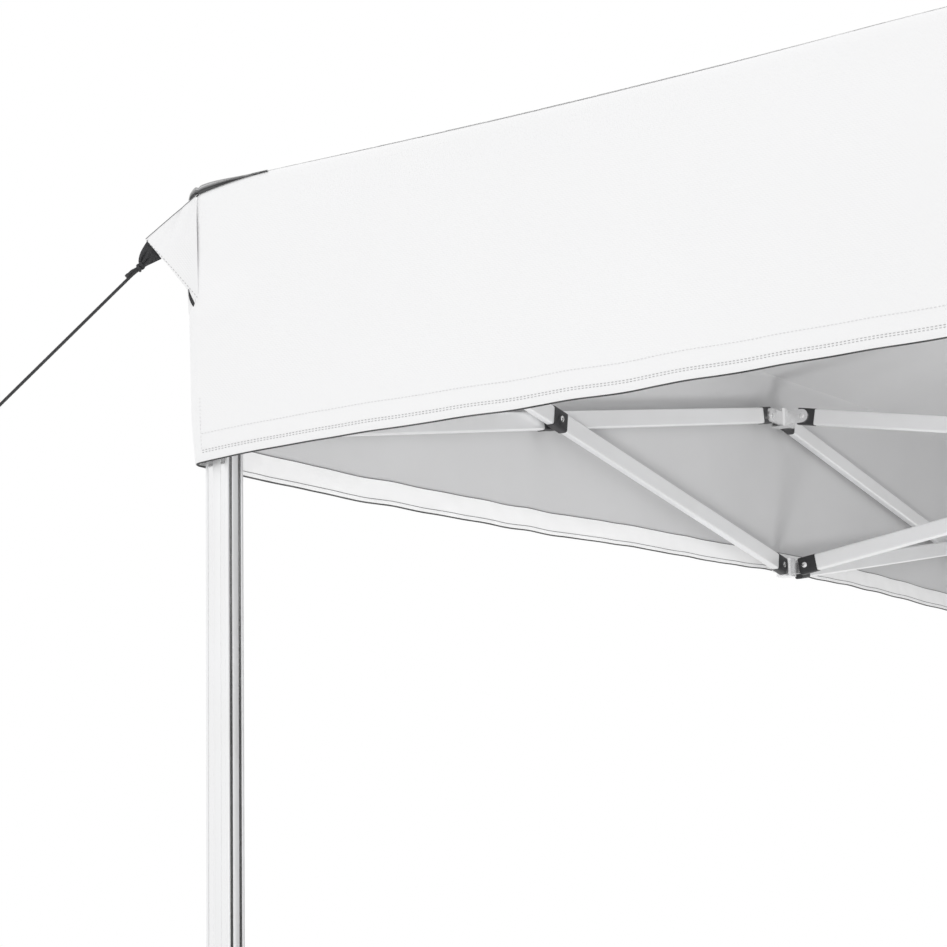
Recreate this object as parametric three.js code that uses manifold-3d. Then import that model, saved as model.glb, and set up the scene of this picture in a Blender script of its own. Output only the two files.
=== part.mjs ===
// Pop up gazebo: a square cloth roof on a folding aluminium scissor frame.
// Millimetres, +Z up. The origin is on the ground at the centre of the four legs.
// The front of the gazebo faces -Y. Each side is the front side turned about Z by a quarter turn.

import * as THREE from 'three';
import { mergeVertices } from 'three/addons/utils/BufferGeometryUtils.js';
import Module from 'manifold-3d';

const wasm = await Module();
wasm.setup();

// ---- Driving dimensions ----
const LEG_AXIS = 1480;            // leg axes from the centre, along X and along Y
const UPPER_Z = 2220;             // height of every upper pivot
const LOWER_Z = 1983;             // height of every lower pivot with the frame open
const PIVOT_REACH = 38;           // pivots stand this far from the axis of their leg, bracket or hub

const BAR_HEIGHT = 25;
const BAR_THICKNESS = 12;
const BAR_WALL = 1.4;
const BAR_CORNER = 2.5;
const BAR_OVERHANG = 9;           // bar end beyond its pivot
const BAR_PLANE = 8;              // middle of a bar from the middle plane of its truss

const LUG_NEAR = 1;               // lug face nearest its bar, past the middle plane
const LUG_THICKNESS = 5;
const LUG_RADIUS = 10.5;
const LUG_ROOT = 17;              // where a lug starts inside its bracket

const LEG_HALF = 15;
const LEG_WALL = 2;
const LEG_BOTTOM_Z = 700;
const GROOVE_INNER = 5;           // each face has two wide grooves, between these distances from its middle
const GROOVE_OUTER = 11.5;
const GROOVE_DEPTH = 0.9;
const LEG_CHAMFER = 1;
const CAP_HALF = 17;
const CAP_BELOW = 16;
const CAP_ABOVE = 22;
const COLLAR_HALF = 19;
const COLLAR_HEIGHT = 50;
const COLLAR_CHAMFER = 3;         // also on the slider, the foot socket and the brackets' blocks
const CAP_CHAMFER = 2;

const INNER_HALF = 12.5;
const INNER_WALL = 1.6;
const INNER_TOP_Z = 1000;
const SOCKET_HALF = 17;
const SOCKET_TOP_Z = 60;
const FOOT_HALF = 40;
const FOOT_THICKNESS = 5;
const FOOT_CHAMFER = 6;
const PEG_HOLE_RADIUS = 6;
const PEG_HOLE_PLACE = 28;

const SLIDER_HALF = 20;
const SLIDER_BORE_HALF = 15.5;
const SLIDER_BOTTOM_Z = LOWER_Z - 23;
const SLIDER_TOP_Z = LOWER_Z + 37;
const SLIDER_BUTTON_Z = LOWER_Z + 25;
const SLIDER_BUTTON_PLACE = 9;    // sideways from the middle of the slider's face
const SLIDER_BUTTON_FROM = 18.7;
const SLIDER_BUTTON_TO = 24.7;
const LEG_BUTTON_FROM = 16.6;
const LEG_BUTTON_TO = 23.2;
const BUTTON_RADIUS = 4.4;
const BUTTON_CLEARANCE = 0.5;
const BUTTON_HOLE_FROM = 12;      // the hole for a button, from the middle of its piece outward
const BUTTON_HOLE_TO = 30;
const BUTTON_SIDES = 12;

const BRACKET_HALF = 12.5;
const BRACKET_BELOW = 14;
const BRACKET_ABOVE = 14;
const HUB_HALF = 20;
const HUB_HEIGHT_HALF = 18;
const HUB_CHAMFER = 5;

const MAST_RADIUS = 12.5;
const MAST_BORE = 11;
const MAST_GUIDE_RADIUS = 12.8;   // hole in the upper hub, which holds the mast tight
const MAST_TOP_Z = 2655;
const MAST_SPIGOT_RADIUS = 10.4;
const MAST_SPIGOT_HEIGHT = 30;
const HEAD_STEM_BOTTOM_Z = 2590;
const HEAD_UNDERSIDE_Z = 2712;
const HEAD_RADIUS = 38;
const HEAD_PROFILE = [[38, 14], [30, 24], [16, 32], [0, 35]];   // radius and height above the underside

const CLOTH_HALF = 1505;
const CLOTH_THICKNESS = 2;
const EAVE_Z = 2251;              // at the roped corner, which the guy rope draws down
const VALANCE_BOTTOM_Z = 1936;    // at the roped corner
// How much higher the cloth's edge is at each middle of a side and corner, from the front's middle
// anticlockwise as seen from above, to the roped corner.
const EDGE_LIFTS = [44, 55, 55, 55, 55, 55, 44, 0];
const PEAK_Z = 2760;
const FLAP_REACH = 51.5;          // how far a corner flap stands out along the diagonal
const FLAP_TOP_Z = EAVE_Z - 13;
const FLAP_TIP_Z = EAVE_Z - 64;
const FLAP_BOTTOM_Z = EAVE_Z - 137;

const WEBBING_WIDTH = 26;
const WEBBING_LENGTH = 21.5;      // from the flap's edge out to the knot
const KNOT_PLACE = 22.4;          // along the flap's edge from its tip
const WEBBING_THICKNESS = 4;
const KNOT_WIDTH = 8;
const KNOT_LENGTH = 20;
const ROPE_DIAMETER = 3.6;
const ROPE_LENGTH = 300;
const ROPE_SLOPE = THREE.MathUtils.degToRad(46.6);
const ROPE_STEPS = 30;
const ROPE_SIDES = 8;
const TENSIONER_LENGTH = 52;
const TENSIONER_HALF = 9;
const TENSIONER_THICKNESS = 6;
const TENSIONER_SLOT_HALF = 3;
const TENSIONER_CHAMFER = 3;

const GAP = 0.3;                  // between pieces that touch
const OVERLAP = 1;                // between shapes that are joined into one piece
const ROUND_SIDES = 16;

const SIDES = ['front', 'left', 'back', 'right'];
const CORNERS = ['front_left', 'back_left', 'back_right', 'front_right'];

// ---- Materials ----
function finish(color, roughness, metalness) {
  return new THREE.MeshStandardMaterial({ color, roughness, metalness });
}

const MATERIALS = {
  tube: () => finish(0xdcdde0, 0.35, 1.0),
  bracket: () => finish(0xc9cbce, 0.4, 1.0),
  plastic: () => finish(0x1b1b1d, 0.5, 0.0),
  cloth: () => finish(0xf4f4f5, 0.85, 0.0),
  webbing: () => finish(0x17171a, 0.9, 0.0),
};

// ---- Joining and cutting closed meshes ----
function toSolid(geometry) {
  const bare = geometry.clone();
  bare.deleteAttribute('normal');
  bare.deleteAttribute('uv');
  const merged = mergeVertices(bare, 1e-4);
  const vertProperties = new Float32Array(merged.attributes.position.array);
  const triVerts = new Uint32Array(merged.index.array);
  return new wasm.Manifold(new wasm.Mesh({ numProp: 3, vertProperties, triVerts }));
}

function toGeometry(solid) {
  const mesh = solid.getMesh();
  const geometry = new THREE.BufferGeometry();
  geometry.setAttribute('position', new THREE.BufferAttribute(mesh.vertProperties, 3));
  geometry.setIndex(new THREE.BufferAttribute(mesh.triVerts, 1));
  geometry.computeVertexNormals();
  return geometry;
}

function join(...geometries) {
  return toGeometry(geometries.map(toSolid).reduce((whole, next) => whole.add(next)));
}

function cut(geometry, ...tools) {
  return toGeometry(tools.map(toSolid).reduce((whole, tool) => whole.subtract(tool), toSolid(geometry)));
}

// ---- Outlines ----
function squarePath(half, chamfer = 0) {
  const c = half - chamfer;
  const points = [];
  for (const [sx, sy] of [[1, 1], [-1, 1], [-1, -1], [1, -1]]) {
    const first = new THREE.Vector2(sx * half, sy * c);
    const second = new THREE.Vector2(sx * c, sy * half);
    points.push(...(sx === sy ? [first, second] : [second, first]));
  }
  return chamfer > 0 ? points : points.filter((_, i) => i % 2 === 0);
}

// The leg's outline: each face has a raised band in its middle, between two wide grooves.
function groovedSquare() {
  const face = [-LEG_HALF + LEG_CHAMFER, LEG_HALF - LEG_CHAMFER].map((y) => [LEG_HALF, y]);
  for (const [low, high] of [[GROOVE_INNER, GROOVE_OUTER], [-GROOVE_OUTER, -GROOVE_INNER]]) {
    face.splice(1, 0,
      [LEG_HALF, low],
      [LEG_HALF - GROOVE_DEPTH, low],
      [LEG_HALF - GROOVE_DEPTH, high],
      [LEG_HALF, high]);
  }
  const points = [];
  for (let turn = 0; turn < 4; turn += 1) {
    const angle = turn * Math.PI / 2;
    for (const [x, y] of face) {
      points.push(new THREE.Vector2(x, y).rotateAround(new THREE.Vector2(), angle));
    }
  }
  return points;
}

function roundedRectangle(width, height, corner) {
  const shape = new THREE.Shape();
  const x = width / 2 - corner;
  const y = height / 2 - corner;
  shape.absarc(x, y, corner, 0, Math.PI / 2);
  shape.absarc(-x, y, corner, Math.PI / 2, Math.PI);
  shape.absarc(-x, -y, corner, Math.PI, 1.5 * Math.PI);
  shape.absarc(x, -y, corner, 1.5 * Math.PI, 2 * Math.PI);
  return shape;
}

function circlePoints(radius, sides) {
  const points = [];
  for (let i = 0; i < sides; i += 1) {
    const angle = 2 * Math.PI * (i + 0.5) / sides;
    points.push(new THREE.Vector2(radius * Math.cos(angle), radius * Math.sin(angle)));
  }
  return points;
}

function prism(points, bottom, top, hole = null) {
  const shape = new THREE.Shape(points);
  if (hole) {
    shape.holes.push(new THREE.Path(hole));
  }
  const geometry = new THREE.ExtrudeGeometry(shape, { depth: top - bottom, bevelEnabled: false });
  return geometry.translate(0, 0, bottom);
}

// A flat bar with round ends in the X-Z plane, from x = start to x = end, between two values of y.
function lug(start, end, z, yLow, yHigh, roundStart = false) {
  const shape = new THREE.Shape();
  shape.absarc(end, 0, LUG_RADIUS, -Math.PI / 2, Math.PI / 2);
  if (roundStart) {
    shape.absarc(start, 0, LUG_RADIUS, Math.PI / 2, 1.5 * Math.PI);
  } else {
    shape.lineTo(start, LUG_RADIUS);
    shape.lineTo(start, -LUG_RADIUS);
  }
  const options = { depth: yHigh - yLow, bevelEnabled: false, curveSegments: 4 };
  const geometry = new THREE.ExtrudeGeometry(shape, options);
  geometry.rotateX(Math.PI / 2);
  return geometry.translate(0, yHigh, z);
}

// ---- Bars ----
function barGeometry(length) {
  const outline = roundedRectangle(BAR_HEIGHT, BAR_THICKNESS, BAR_CORNER);
  const walls = 2 * BAR_WALL;
  const inner = roundedRectangle(BAR_HEIGHT - walls, BAR_THICKNESS - walls, BAR_CORNER - BAR_WALL);
  outline.holes.push(new THREE.Path(inner.getPoints(1)));
  const options = { depth: length + 2 * BAR_OVERHANG, bevelEnabled: false, curveSegments: 1 };
  return new THREE.ExtrudeGeometry(outline, options).translate(0, 0, -BAR_OVERHANG);
}

// A bar between two pivots; normal is the direction of the pivots' pins.
function bar(name, from, to, normal) {
  const along = to.clone().sub(from);
  const mesh = new THREE.Mesh(barGeometry(along.length()), MATERIALS.tube());
  const direction = along.normalize();
  const across = normal.clone().cross(direction);
  mesh.name = name;
  mesh.position.copy(from);
  mesh.setRotationFromMatrix(new THREE.Matrix4().makeBasis(across, normal, direction));
  return mesh;
}

function piece(name, geometry, material) {
  const mesh = new THREE.Mesh(geometry, material);
  mesh.name = name;
  return mesh;
}

// One side of the frame, as the front side: its truss stands over y = -LEG_AXIS.
function sideTruss(side, cornerAtLow, cornerAtHigh) {
  const group = new THREE.Group();
  const normal = new THREE.Vector3(0, 1, 0);
  const inner = -LEG_AXIS + BAR_PLANE;
  const outer = -LEG_AXIS - BAR_PLANE;
  for (const [sign, corner] of [[-1, cornerAtLow], [1, cornerAtHigh]]) {
    const middle = sign * PIVOT_REACH;
    const end = sign * (LEG_AXIS - PIVOT_REACH);
    const low = new THREE.Vector3(middle, inner, LOWER_Z);
    const legTop = new THREE.Vector3(end, inner, UPPER_Z);
    const high = new THREE.Vector3(middle, outer, UPPER_Z);
    const onSlider = new THREE.Vector3(end, outer, LOWER_Z);
    group.add(bar(`${side}_truss_falling_bar_at_${corner}`, legTop, low, normal));
    group.add(bar(`${side}_truss_rising_bar_at_${corner}`, onSlider, high, normal));
  }
  return group;
}

// The crossed pair from the middle of a side to the hubs at the centre.
function centreTruss(side) {
  const group = new THREE.Group();
  const normal = new THREE.Vector3(1, 0, 0);
  const far = -LEG_AXIS + PIVOT_REACH;
  const fromHigh = new THREE.Vector3(-BAR_PLANE, far, UPPER_Z);
  const toLowerHub = new THREE.Vector3(-BAR_PLANE, -PIVOT_REACH, LOWER_Z);
  const fromLow = new THREE.Vector3(BAR_PLANE, far, LOWER_Z);
  const toUpperHub = new THREE.Vector3(BAR_PLANE, -PIVOT_REACH, UPPER_Z);
  group.add(bar(`${side}_centre_falling_bar`, fromHigh, toLowerHub, normal));
  group.add(bar(`${side}_centre_rising_bar`, fromLow, toUpperHub, normal));
  return group;
}

// ---- Brackets at the middle of a side ----
// sideSign says on which side of the truss's middle plane the long plate lies: 1 is inward.
// centreSign says the same for the lug of the centre truss.
function middleBracket(name, z, sideSign, centreSign) {
  const [near, far] = lugSpan(sideSign);
  const longPlate = lug(-PIVOT_REACH, PIVOT_REACH, z, near, far, true);
  const [low, high] = lugSpan(-centreSign);
  const shortPlate = lug(0, PIVOT_REACH, z, low, high).rotateZ(Math.PI / 2);
  const block = prism(squarePath(BRACKET_HALF, COLLAR_CHAMFER), z - BRACKET_BELOW, z + BRACKET_ABOVE);
  const geometry = join(longPlate, shortPlate, block).translate(0, -LEG_AXIS, 0);
  return piece(name, geometry, MATERIALS.bracket());
}

// The two faces of a lug that lies on the given side of the middle plane and just passes it.
function lugSpan(sign) {
  const span = [sign * -LUG_NEAR, sign * (LUG_THICKNESS - LUG_NEAR)];
  return span.sort((a, b) => a - b);
}

// ---- Hubs, mast and mast head ----
function hubBody(z, lugSign) {
  const parts = [prism(squarePath(HUB_HALF, HUB_CHAMFER), z - HUB_HEIGHT_HALF, z + HUB_HEIGHT_HALF)];
  const [low, high] = lugSpan(lugSign);
  for (let turn = 0; turn < 4; turn += 1) {
    const plate = lug(LUG_ROOT, PIVOT_REACH, z, low, high);
    parts.push(plate.rotateZ(-Math.PI / 2 * (turn + 1)));
  }
  return join(...parts);
}

function upperHub() {
  const past = HUB_HEIGHT_HALF + OVERLAP;
  const guide = prism(circlePoints(MAST_GUIDE_RADIUS, ROUND_SIDES), UPPER_Z - past, UPPER_Z + past);
  return piece('upper_hub', cut(hubBody(UPPER_Z, -1), guide), MATERIALS.plastic());
}

function lowerHub() {
  const top = LOWER_Z + HUB_HEIGHT_HALF;
  const outline = circlePoints(MAST_SPIGOT_RADIUS, ROUND_SIDES);
  const spigot = prism(outline, top - OVERLAP, top + MAST_SPIGOT_HEIGHT);
  return piece('lower_hub', join(hubBody(LOWER_Z, 1), spigot), MATERIALS.plastic());
}

function mastTube() {
  const bottom = LOWER_Z + HUB_HEIGHT_HALF + GAP;
  const outline = circlePoints(MAST_RADIUS, ROUND_SIDES);
  const bore = circlePoints(MAST_BORE, ROUND_SIDES);
  return piece('mast_tube', prism(outline, bottom, MAST_TOP_Z, bore), MATERIALS.tube());
}

function mastHead() {
  const profile = [
    [0, HEAD_STEM_BOTTOM_Z],
    [MAST_SPIGOT_RADIUS, HEAD_STEM_BOTTOM_Z],
    [MAST_SPIGOT_RADIUS, HEAD_UNDERSIDE_Z],
    [HEAD_RADIUS, HEAD_UNDERSIDE_Z],
    ...HEAD_PROFILE.map(([radius, height]) => [radius, HEAD_UNDERSIDE_Z + height]),
  ].map(([radius, z]) => new THREE.Vector2(radius, z));
  const halfStep = Math.PI / ROUND_SIDES;
  const geometry = new THREE.LatheGeometry(profile, ROUND_SIDES, halfStep).rotateX(Math.PI / 2);
  return piece('mast_head', geometry, MATERIALS.plastic());
}

// ---- Corner pieces, as the front left corner with the leg axis at x = y = 0 ----
// Both lugs of a corner piece, one along +X and one along +Y, mirrored about the diagonal.
function cornerLugs(z, sign) {
  const [low, high] = lugSpan(sign);
  const root = LUG_ROOT - OVERLAP;
  const alongX = lug(root, PIVOT_REACH, z, low, high);
  const alongY = lug(root, PIVOT_REACH, z, -high, -low).rotateZ(Math.PI / 2);
  return [alongX, alongY];
}

function buttonHole(radius, z, sideways) {
  const hole = prism(circlePoints(radius, BUTTON_SIDES), BUTTON_HOLE_FROM, BUTTON_HOLE_TO);
  return hole.rotateY(Math.PI / 2).translate(0, sideways, z);
}

function button(name, from, to, z, sideways) {
  const geometry = prism(circlePoints(BUTTON_RADIUS, BUTTON_SIDES), from, to);
  return piece(name, geometry.rotateY(Math.PI / 2).translate(0, sideways, z), MATERIALS.plastic());
}

const LEG_BUTTON_Z = LEG_BOTTOM_Z + COLLAR_HEIGHT / 2;
const LEG_BUTTON_TURN = -Math.PI / 2;

function outerLeg(corner) {
  const bore = squarePath(LEG_HALF - LEG_WALL);
  const tube = prism(groovedSquare(), LEG_BOTTOM_Z, UPPER_Z, bore);
  const cap = prism(squarePath(CAP_HALF, CAP_CHAMFER), UPPER_Z - CAP_BELOW, UPPER_Z + CAP_ABOVE);
  const collarOutline = squarePath(COLLAR_HALF, COLLAR_CHAMFER);
  const collar = prism(collarOutline, LEG_BOTTOM_Z, LEG_BOTTOM_Z + COLLAR_HEIGHT, bore);
  const whole = join(tube, cap, collar, ...cornerLugs(UPPER_Z, -1));
  const hole = buttonHole(BUTTON_RADIUS + BUTTON_CLEARANCE, LEG_BUTTON_Z, 0).rotateZ(LEG_BUTTON_TURN);
  return piece(`${corner}_outer_leg`, cut(whole, hole), MATERIALS.tube());
}

function innerLeg(corner) {
  const bore = squarePath(INNER_HALF - INNER_WALL);
  const tube = prism(squarePath(INNER_HALF, LEG_CHAMFER), FOOT_THICKNESS, INNER_TOP_Z, bore);
  const socket = prism(squarePath(SOCKET_HALF, COLLAR_CHAMFER), FOOT_THICKNESS - OVERLAP, SOCKET_TOP_Z);
  const plate = prism(squarePath(FOOT_HALF, FOOT_CHAMFER), 0, FOOT_THICKNESS);
  const holes = [-1, 1].map((sign) => {
    const hole = prism(circlePoints(PEG_HOLE_RADIUS, BUTTON_SIDES), -OVERLAP, FOOT_THICKNESS + OVERLAP);
    return hole.translate(sign * PEG_HOLE_PLACE, -sign * PEG_HOLE_PLACE, 0);
  });
  return piece(`${corner}_inner_leg`, cut(join(tube, socket, plate), ...holes), MATERIALS.tube());
}

function slider(corner) {
  const bore = squarePath(SLIDER_BORE_HALF);
  const ring = prism(squarePath(SLIDER_HALF, COLLAR_CHAMFER), SLIDER_BOTTOM_Z, SLIDER_TOP_Z, bore);
  const whole = join(ring, ...cornerLugs(LOWER_Z, 1));
  const hole = buttonHole(BUTTON_RADIUS + BUTTON_CLEARANCE, SLIDER_BUTTON_Z, SLIDER_BUTTON_PLACE);
  return piece(`${corner}_slider`, cut(whole, hole), MATERIALS.plastic());
}

function sliderButton(corner) {
  const name = `${corner}_slider_button`;
  return button(name, SLIDER_BUTTON_FROM, SLIDER_BUTTON_TO, SLIDER_BUTTON_Z, SLIDER_BUTTON_PLACE);
}

function legButton(corner) {
  const mesh = button(`${corner}_leg_button`, LEG_BUTTON_FROM, LEG_BUTTON_TO, LEG_BUTTON_Z, 0);
  mesh.rotation.z = LEG_BUTTON_TURN;
  return mesh;
}

function cornerGroup(corner) {
  const group = new THREE.Group();
  group.add(outerLeg(corner), innerLeg(corner), slider(corner), sliderButton(corner), legButton(corner));
  group.position.set(-LEG_AXIS, -LEG_AXIS, 0);
  return group;
}

// ---- Cloth ----
// A plate in the diagonal plane of the front left corner. Its points are (reach, z), where reach is
// the distance from the cloth's corner, outward along the diagonal.
function diagonalPlate(points, thickness) {
  const outline = points.map(([reach, z]) => new THREE.Vector2(reach, z));
  const geometry = prism(outline, -thickness / 2, thickness / 2).rotateX(Math.PI / 2);
  return geometry.rotateZ(-0.75 * Math.PI).translate(-CLOTH_HALF, -CLOTH_HALF, 0);
}

// Turns a round-about shell with eight sides into the square cloth: the middles of the sides are
// drawn in to the square, and each of the eight edges is raised by its lift.
function toLiftedSquare(geometry, cornerRadius) {
  const points = geometry.attributes.position;
  const step = 2 * Math.PI / EDGE_LIFTS.length;
  for (let i = 0; i < points.count; i += 1) {
    const [x, y, z] = [points.getX(i), points.getY(i), points.getZ(i)];
    const spoke = Math.round(Math.atan2(x, -y) / step + EDGE_LIFTS.length) % EDGE_LIFTS.length;
    const share = Math.hypot(x, y) / cornerRadius;
    const scale = spoke % 2 === 0 ? Math.SQRT1_2 : 1;
    points.setXYZ(i, x * scale, y * scale, z + EDGE_LIFTS[spoke] * share);
  }
  return geometry;
}

function canopy() {
  const outer = CLOTH_HALF * Math.SQRT2;
  const inner = (CLOTH_HALF - CLOTH_THICKNESS) * Math.SQRT2;
  const profile = [
    [0, PEAK_Z - CLOTH_THICKNESS],
    [inner, EAVE_Z - CLOTH_THICKNESS],
    [inner, VALANCE_BOTTOM_Z],
    [outer, VALANCE_BOTTOM_Z],
    [outer, EAVE_Z],
    [0, PEAK_Z],
  ].map(([radius, z]) => new THREE.Vector2(radius, z));
  const shell = new THREE.LatheGeometry(profile, EDGE_LIFTS.length).rotateX(Math.PI / 2);
  const root = -CLOTH_THICKNESS / 2;
  const flap = [[root, FLAP_TOP_Z], [root, FLAP_BOTTOM_Z], [FLAP_REACH, FLAP_TIP_Z]];
  const flaps = [0, 1, 2, 3].map((turn) => {
    const lift = EDGE_LIFTS[(2 * turn + EDGE_LIFTS.length - 1) % EDGE_LIFTS.length];
    return diagonalPlate(flap, CLOTH_THICKNESS).rotateZ(turn * Math.PI / 2).translate(0, 0, lift);
  });
  return piece('canopy', join(toLiftedSquare(shell, outer), ...flaps), MATERIALS.cloth());
}

// ---- Guy rope at the front left corner ----
// The webbing hangs off the flap's lower edge, square to it, and the rope leaves the webbing's tail.
const flapTip = new THREE.Vector2(FLAP_REACH, FLAP_TIP_Z);
const flapEdge = new THREE.Vector2(0, FLAP_BOTTOM_Z).sub(flapTip).normalize();
const flapOutward = new THREE.Vector2(-flapEdge.y, flapEdge.x);
const webbingStart = flapTip.clone().addScaledVector(flapOutward, 2 * GAP);
const knotMiddle = webbingStart.clone()
  .addScaledVector(flapEdge, KNOT_PLACE)
  .addScaledVector(flapOutward, WEBBING_LENGTH);
const ropeDirection = new THREE.Vector2(Math.cos(ROPE_SLOPE), -Math.sin(ROPE_SLOPE));
const ropeAcross = new THREE.Vector2(ropeDirection.y, -ropeDirection.x);
const ropeStart = knotMiddle.clone().addScaledVector(ropeDirection, KNOT_LENGTH + GAP);
const ropeEnd = ropeStart.clone().addScaledVector(ropeDirection, ROPE_LENGTH);

function webbing() {
  const low = webbingStart.clone().addScaledVector(flapEdge, WEBBING_WIDTH);
  const tail = knotMiddle.clone().addScaledVector(ropeDirection, KNOT_LENGTH);
  const points = [
    webbingStart,
    low,
    knotMiddle.clone().addScaledVector(ropeAcross, KNOT_WIDTH / 2),
    tail.clone().addScaledVector(ropeAcross, ROPE_DIAMETER / 2),
    tail.clone().addScaledVector(ropeAcross, -ROPE_DIAMETER / 2),
    knotMiddle.clone().addScaledVector(ropeAcross, -KNOT_WIDTH / 2),
  ].map((point) => [point.x, point.y]);
  return piece('corner_webbing', diagonalPlate(points, WEBBING_THICKNESS), MATERIALS.webbing());
}

function onDiagonal(point) {
  const reach = point.x / Math.SQRT2;
  return new THREE.Vector3(-CLOTH_HALF - reach, -CLOTH_HALF - reach, point.y);
}

function guyRope() {
  const path = new THREE.LineCurve3(onDiagonal(ropeStart), onDiagonal(ropeEnd));
  const section = new THREE.Shape(circlePoints(ROPE_DIAMETER / 2, ROPE_SIDES));
  const geometry = new THREE.ExtrudeGeometry(section, { steps: ROPE_STEPS, extrudePath: path });
  return piece('guy_rope', geometry, MATERIALS.webbing());
}

// Moves an outline along +X, and its far half by a further stretch.
function stretched(points, shift, stretch) {
  return points.map((p) => new THREE.Vector2(p.x + shift + (p.x > 0 ? stretch : 0), p.y));
}

// A flat bar with a slot, which the rope's end is tied to.
function ropeTensioner() {
  const end = squarePath(TENSIONER_HALF, TENSIONER_CHAMFER);
  const outline = stretched(end, TENSIONER_HALF, TENSIONER_LENGTH - 2 * TENSIONER_HALF);
  const slot = stretched(squarePath(TENSIONER_SLOT_HALF), TENSIONER_LENGTH / 4, TENSIONER_LENGTH / 2);
  const flat = prism(outline, -TENSIONER_THICKNESS / 2, TENSIONER_THICKNESS / 2, slot);
  const start = onDiagonal(ropeEnd.clone().addScaledVector(ropeDirection, GAP));
  const geometry = flat.rotateX(Math.PI / 2).rotateY(ROPE_SLOPE).rotateZ(-0.75 * Math.PI);
  return piece('rope_tensioner', geometry.translate(start.x, start.y, start.z), MATERIALS.plastic());
}

// ---- The whole gazebo ----
const gazebo = new THREE.Group();
gazebo.name = 'pop_up_gazebo';
gazebo.add(canopy(), webbing(), guyRope(), ropeTensioner());
gazebo.add(upperHub(), lowerHub(), mastTube(), mastHead());

SIDES.forEach((side, index) => {
  const quarter = new THREE.Group();
  const corner = CORNERS[index];
  const lastCorner = CORNERS[(index + 3) % 4];
  quarter.add(sideTruss(side, corner, lastCorner), centreTruss(side));
  quarter.add(middleBracket(`${side}_upper_mid_bracket`, UPPER_Z, 1, 1));
  quarter.add(middleBracket(`${side}_lower_mid_bracket`, LOWER_Z, -1, -1));
  quarter.add(cornerGroup(corner));
  quarter.rotation.z = -index * Math.PI / 2;
  gazebo.add(quarter);
});

export default gazebo;
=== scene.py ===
from math import atan2, copysign, cos, exp, hypot, pi, radians, sin, sqrt

import bpy
from mathutils import Matrix, Vector, noise


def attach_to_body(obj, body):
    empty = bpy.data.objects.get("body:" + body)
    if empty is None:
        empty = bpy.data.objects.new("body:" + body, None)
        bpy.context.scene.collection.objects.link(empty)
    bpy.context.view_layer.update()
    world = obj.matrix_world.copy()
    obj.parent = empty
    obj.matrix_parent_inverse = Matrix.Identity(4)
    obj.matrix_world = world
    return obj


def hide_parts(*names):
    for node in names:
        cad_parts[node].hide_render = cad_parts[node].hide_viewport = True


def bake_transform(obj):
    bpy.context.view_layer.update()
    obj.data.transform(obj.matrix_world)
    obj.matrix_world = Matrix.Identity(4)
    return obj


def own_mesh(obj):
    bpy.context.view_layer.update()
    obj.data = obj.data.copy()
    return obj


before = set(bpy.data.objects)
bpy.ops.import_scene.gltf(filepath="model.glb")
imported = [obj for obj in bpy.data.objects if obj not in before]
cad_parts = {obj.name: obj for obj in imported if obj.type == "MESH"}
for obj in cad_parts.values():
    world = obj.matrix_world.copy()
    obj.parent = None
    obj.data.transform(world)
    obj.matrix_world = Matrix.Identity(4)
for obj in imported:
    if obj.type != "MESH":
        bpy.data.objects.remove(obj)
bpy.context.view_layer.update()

# ---- Sizes of the frame, in metres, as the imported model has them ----
LEG_AXIS = 1.480            # from the middle to a leg's axis, along X and along Y
UPPER_Z = 2.220             # pivots at the leg tops, the upper brackets and the upper hub
LOWER_Z = 1.983             # pivots at the sliders, the lower brackets and the lower hub
PIVOT_REACH = 0.038         # from a bracket's middle to its pivot
BAR_OFFSET = 0.008          # from the truss's middle plane to a bar's own
BAR_HEIGHT = 0.025
BAR_THICKNESS = 0.012
LUG_FAR_FACE = 0.004
LEG_HALF = 0.015
LEG_BOTTOM_Z = 0.700

# ---- Sizes of the cloth ----
CLOTH_HALF = 1.505
EAVE_Z = 2.251              # at the roped corner, which the guy rope draws down
VALANCE_BOTTOM_Z = 1.936    # at the roped corner
EDGE_LIFT = 0.055           # how much higher the cloth's edge is away from the roped corner
LIFT_REACH = 2.05           # along the edge from the roped corner to where it is highest
PEAK_Z = 2.760
CLOTH_THICKNESS = 0.0012
CORNER_RADIUS = 0.012
HALF_ARC = CLOTH_HALF - CORNER_RADIUS + CORNER_RADIUS * pi / 4     # half a valance's length
HEM_HEIGHT = 0.010
TAPE_HEIGHT = 0.029
PEAK_PATCH_RADIUS = 0.072
GORES_A_SIDE = 10

# ---- The corner flap and guy rope, as distances outward along the diagonal and heights ----
FLAP_TOP_Z = EAVE_Z - 0.013
FLAP_TIP = (0.0515, EAVE_Z - 0.064)
FLAP_BOTTOM_Z = EAVE_Z - 0.137
KNOT_PLACE = (0.0224, 0.0221)       # from the flap's tip: along its lower edge, and square to the edge
KNOT_LENGTH = 0.0203
ROPE_SLOPE = radians(46.6)
ROPE_LENGTH = 0.300
ROPE_DIAMETER = 0.0036
WEBBING_WIDTH = 0.026
TENSIONER_LENGTH = 0.052
TENSIONER_WIDTH = 0.018
TENSIONER_THICKNESS = 0.006
TENSIONER_SLOT_LENGTH = 0.032
TENSIONER_SLOT_WIDTH = 0.006
TENSIONER_EDGE = 0.001
TENSIONER_GAP = 0.0003

X, Y, Z = (Vector(axis) for axis in ((1, 0, 0), (0, 1, 0), (0, 0, 1)))
SIDES = ("front", "left", "back", "right")
CORNERS = ("front_left", "back_left", "back_right", "front_right")


def steps(count):
    """Shares from 0 to 1 in equal steps."""
    return [i / count for i in range(count + 1)]


def turned(k):
    """The turn that takes the front side, or the front left corner, to the k-th one."""
    return Matrix.Rotation(-k * pi / 2, 4, "Z")


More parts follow.
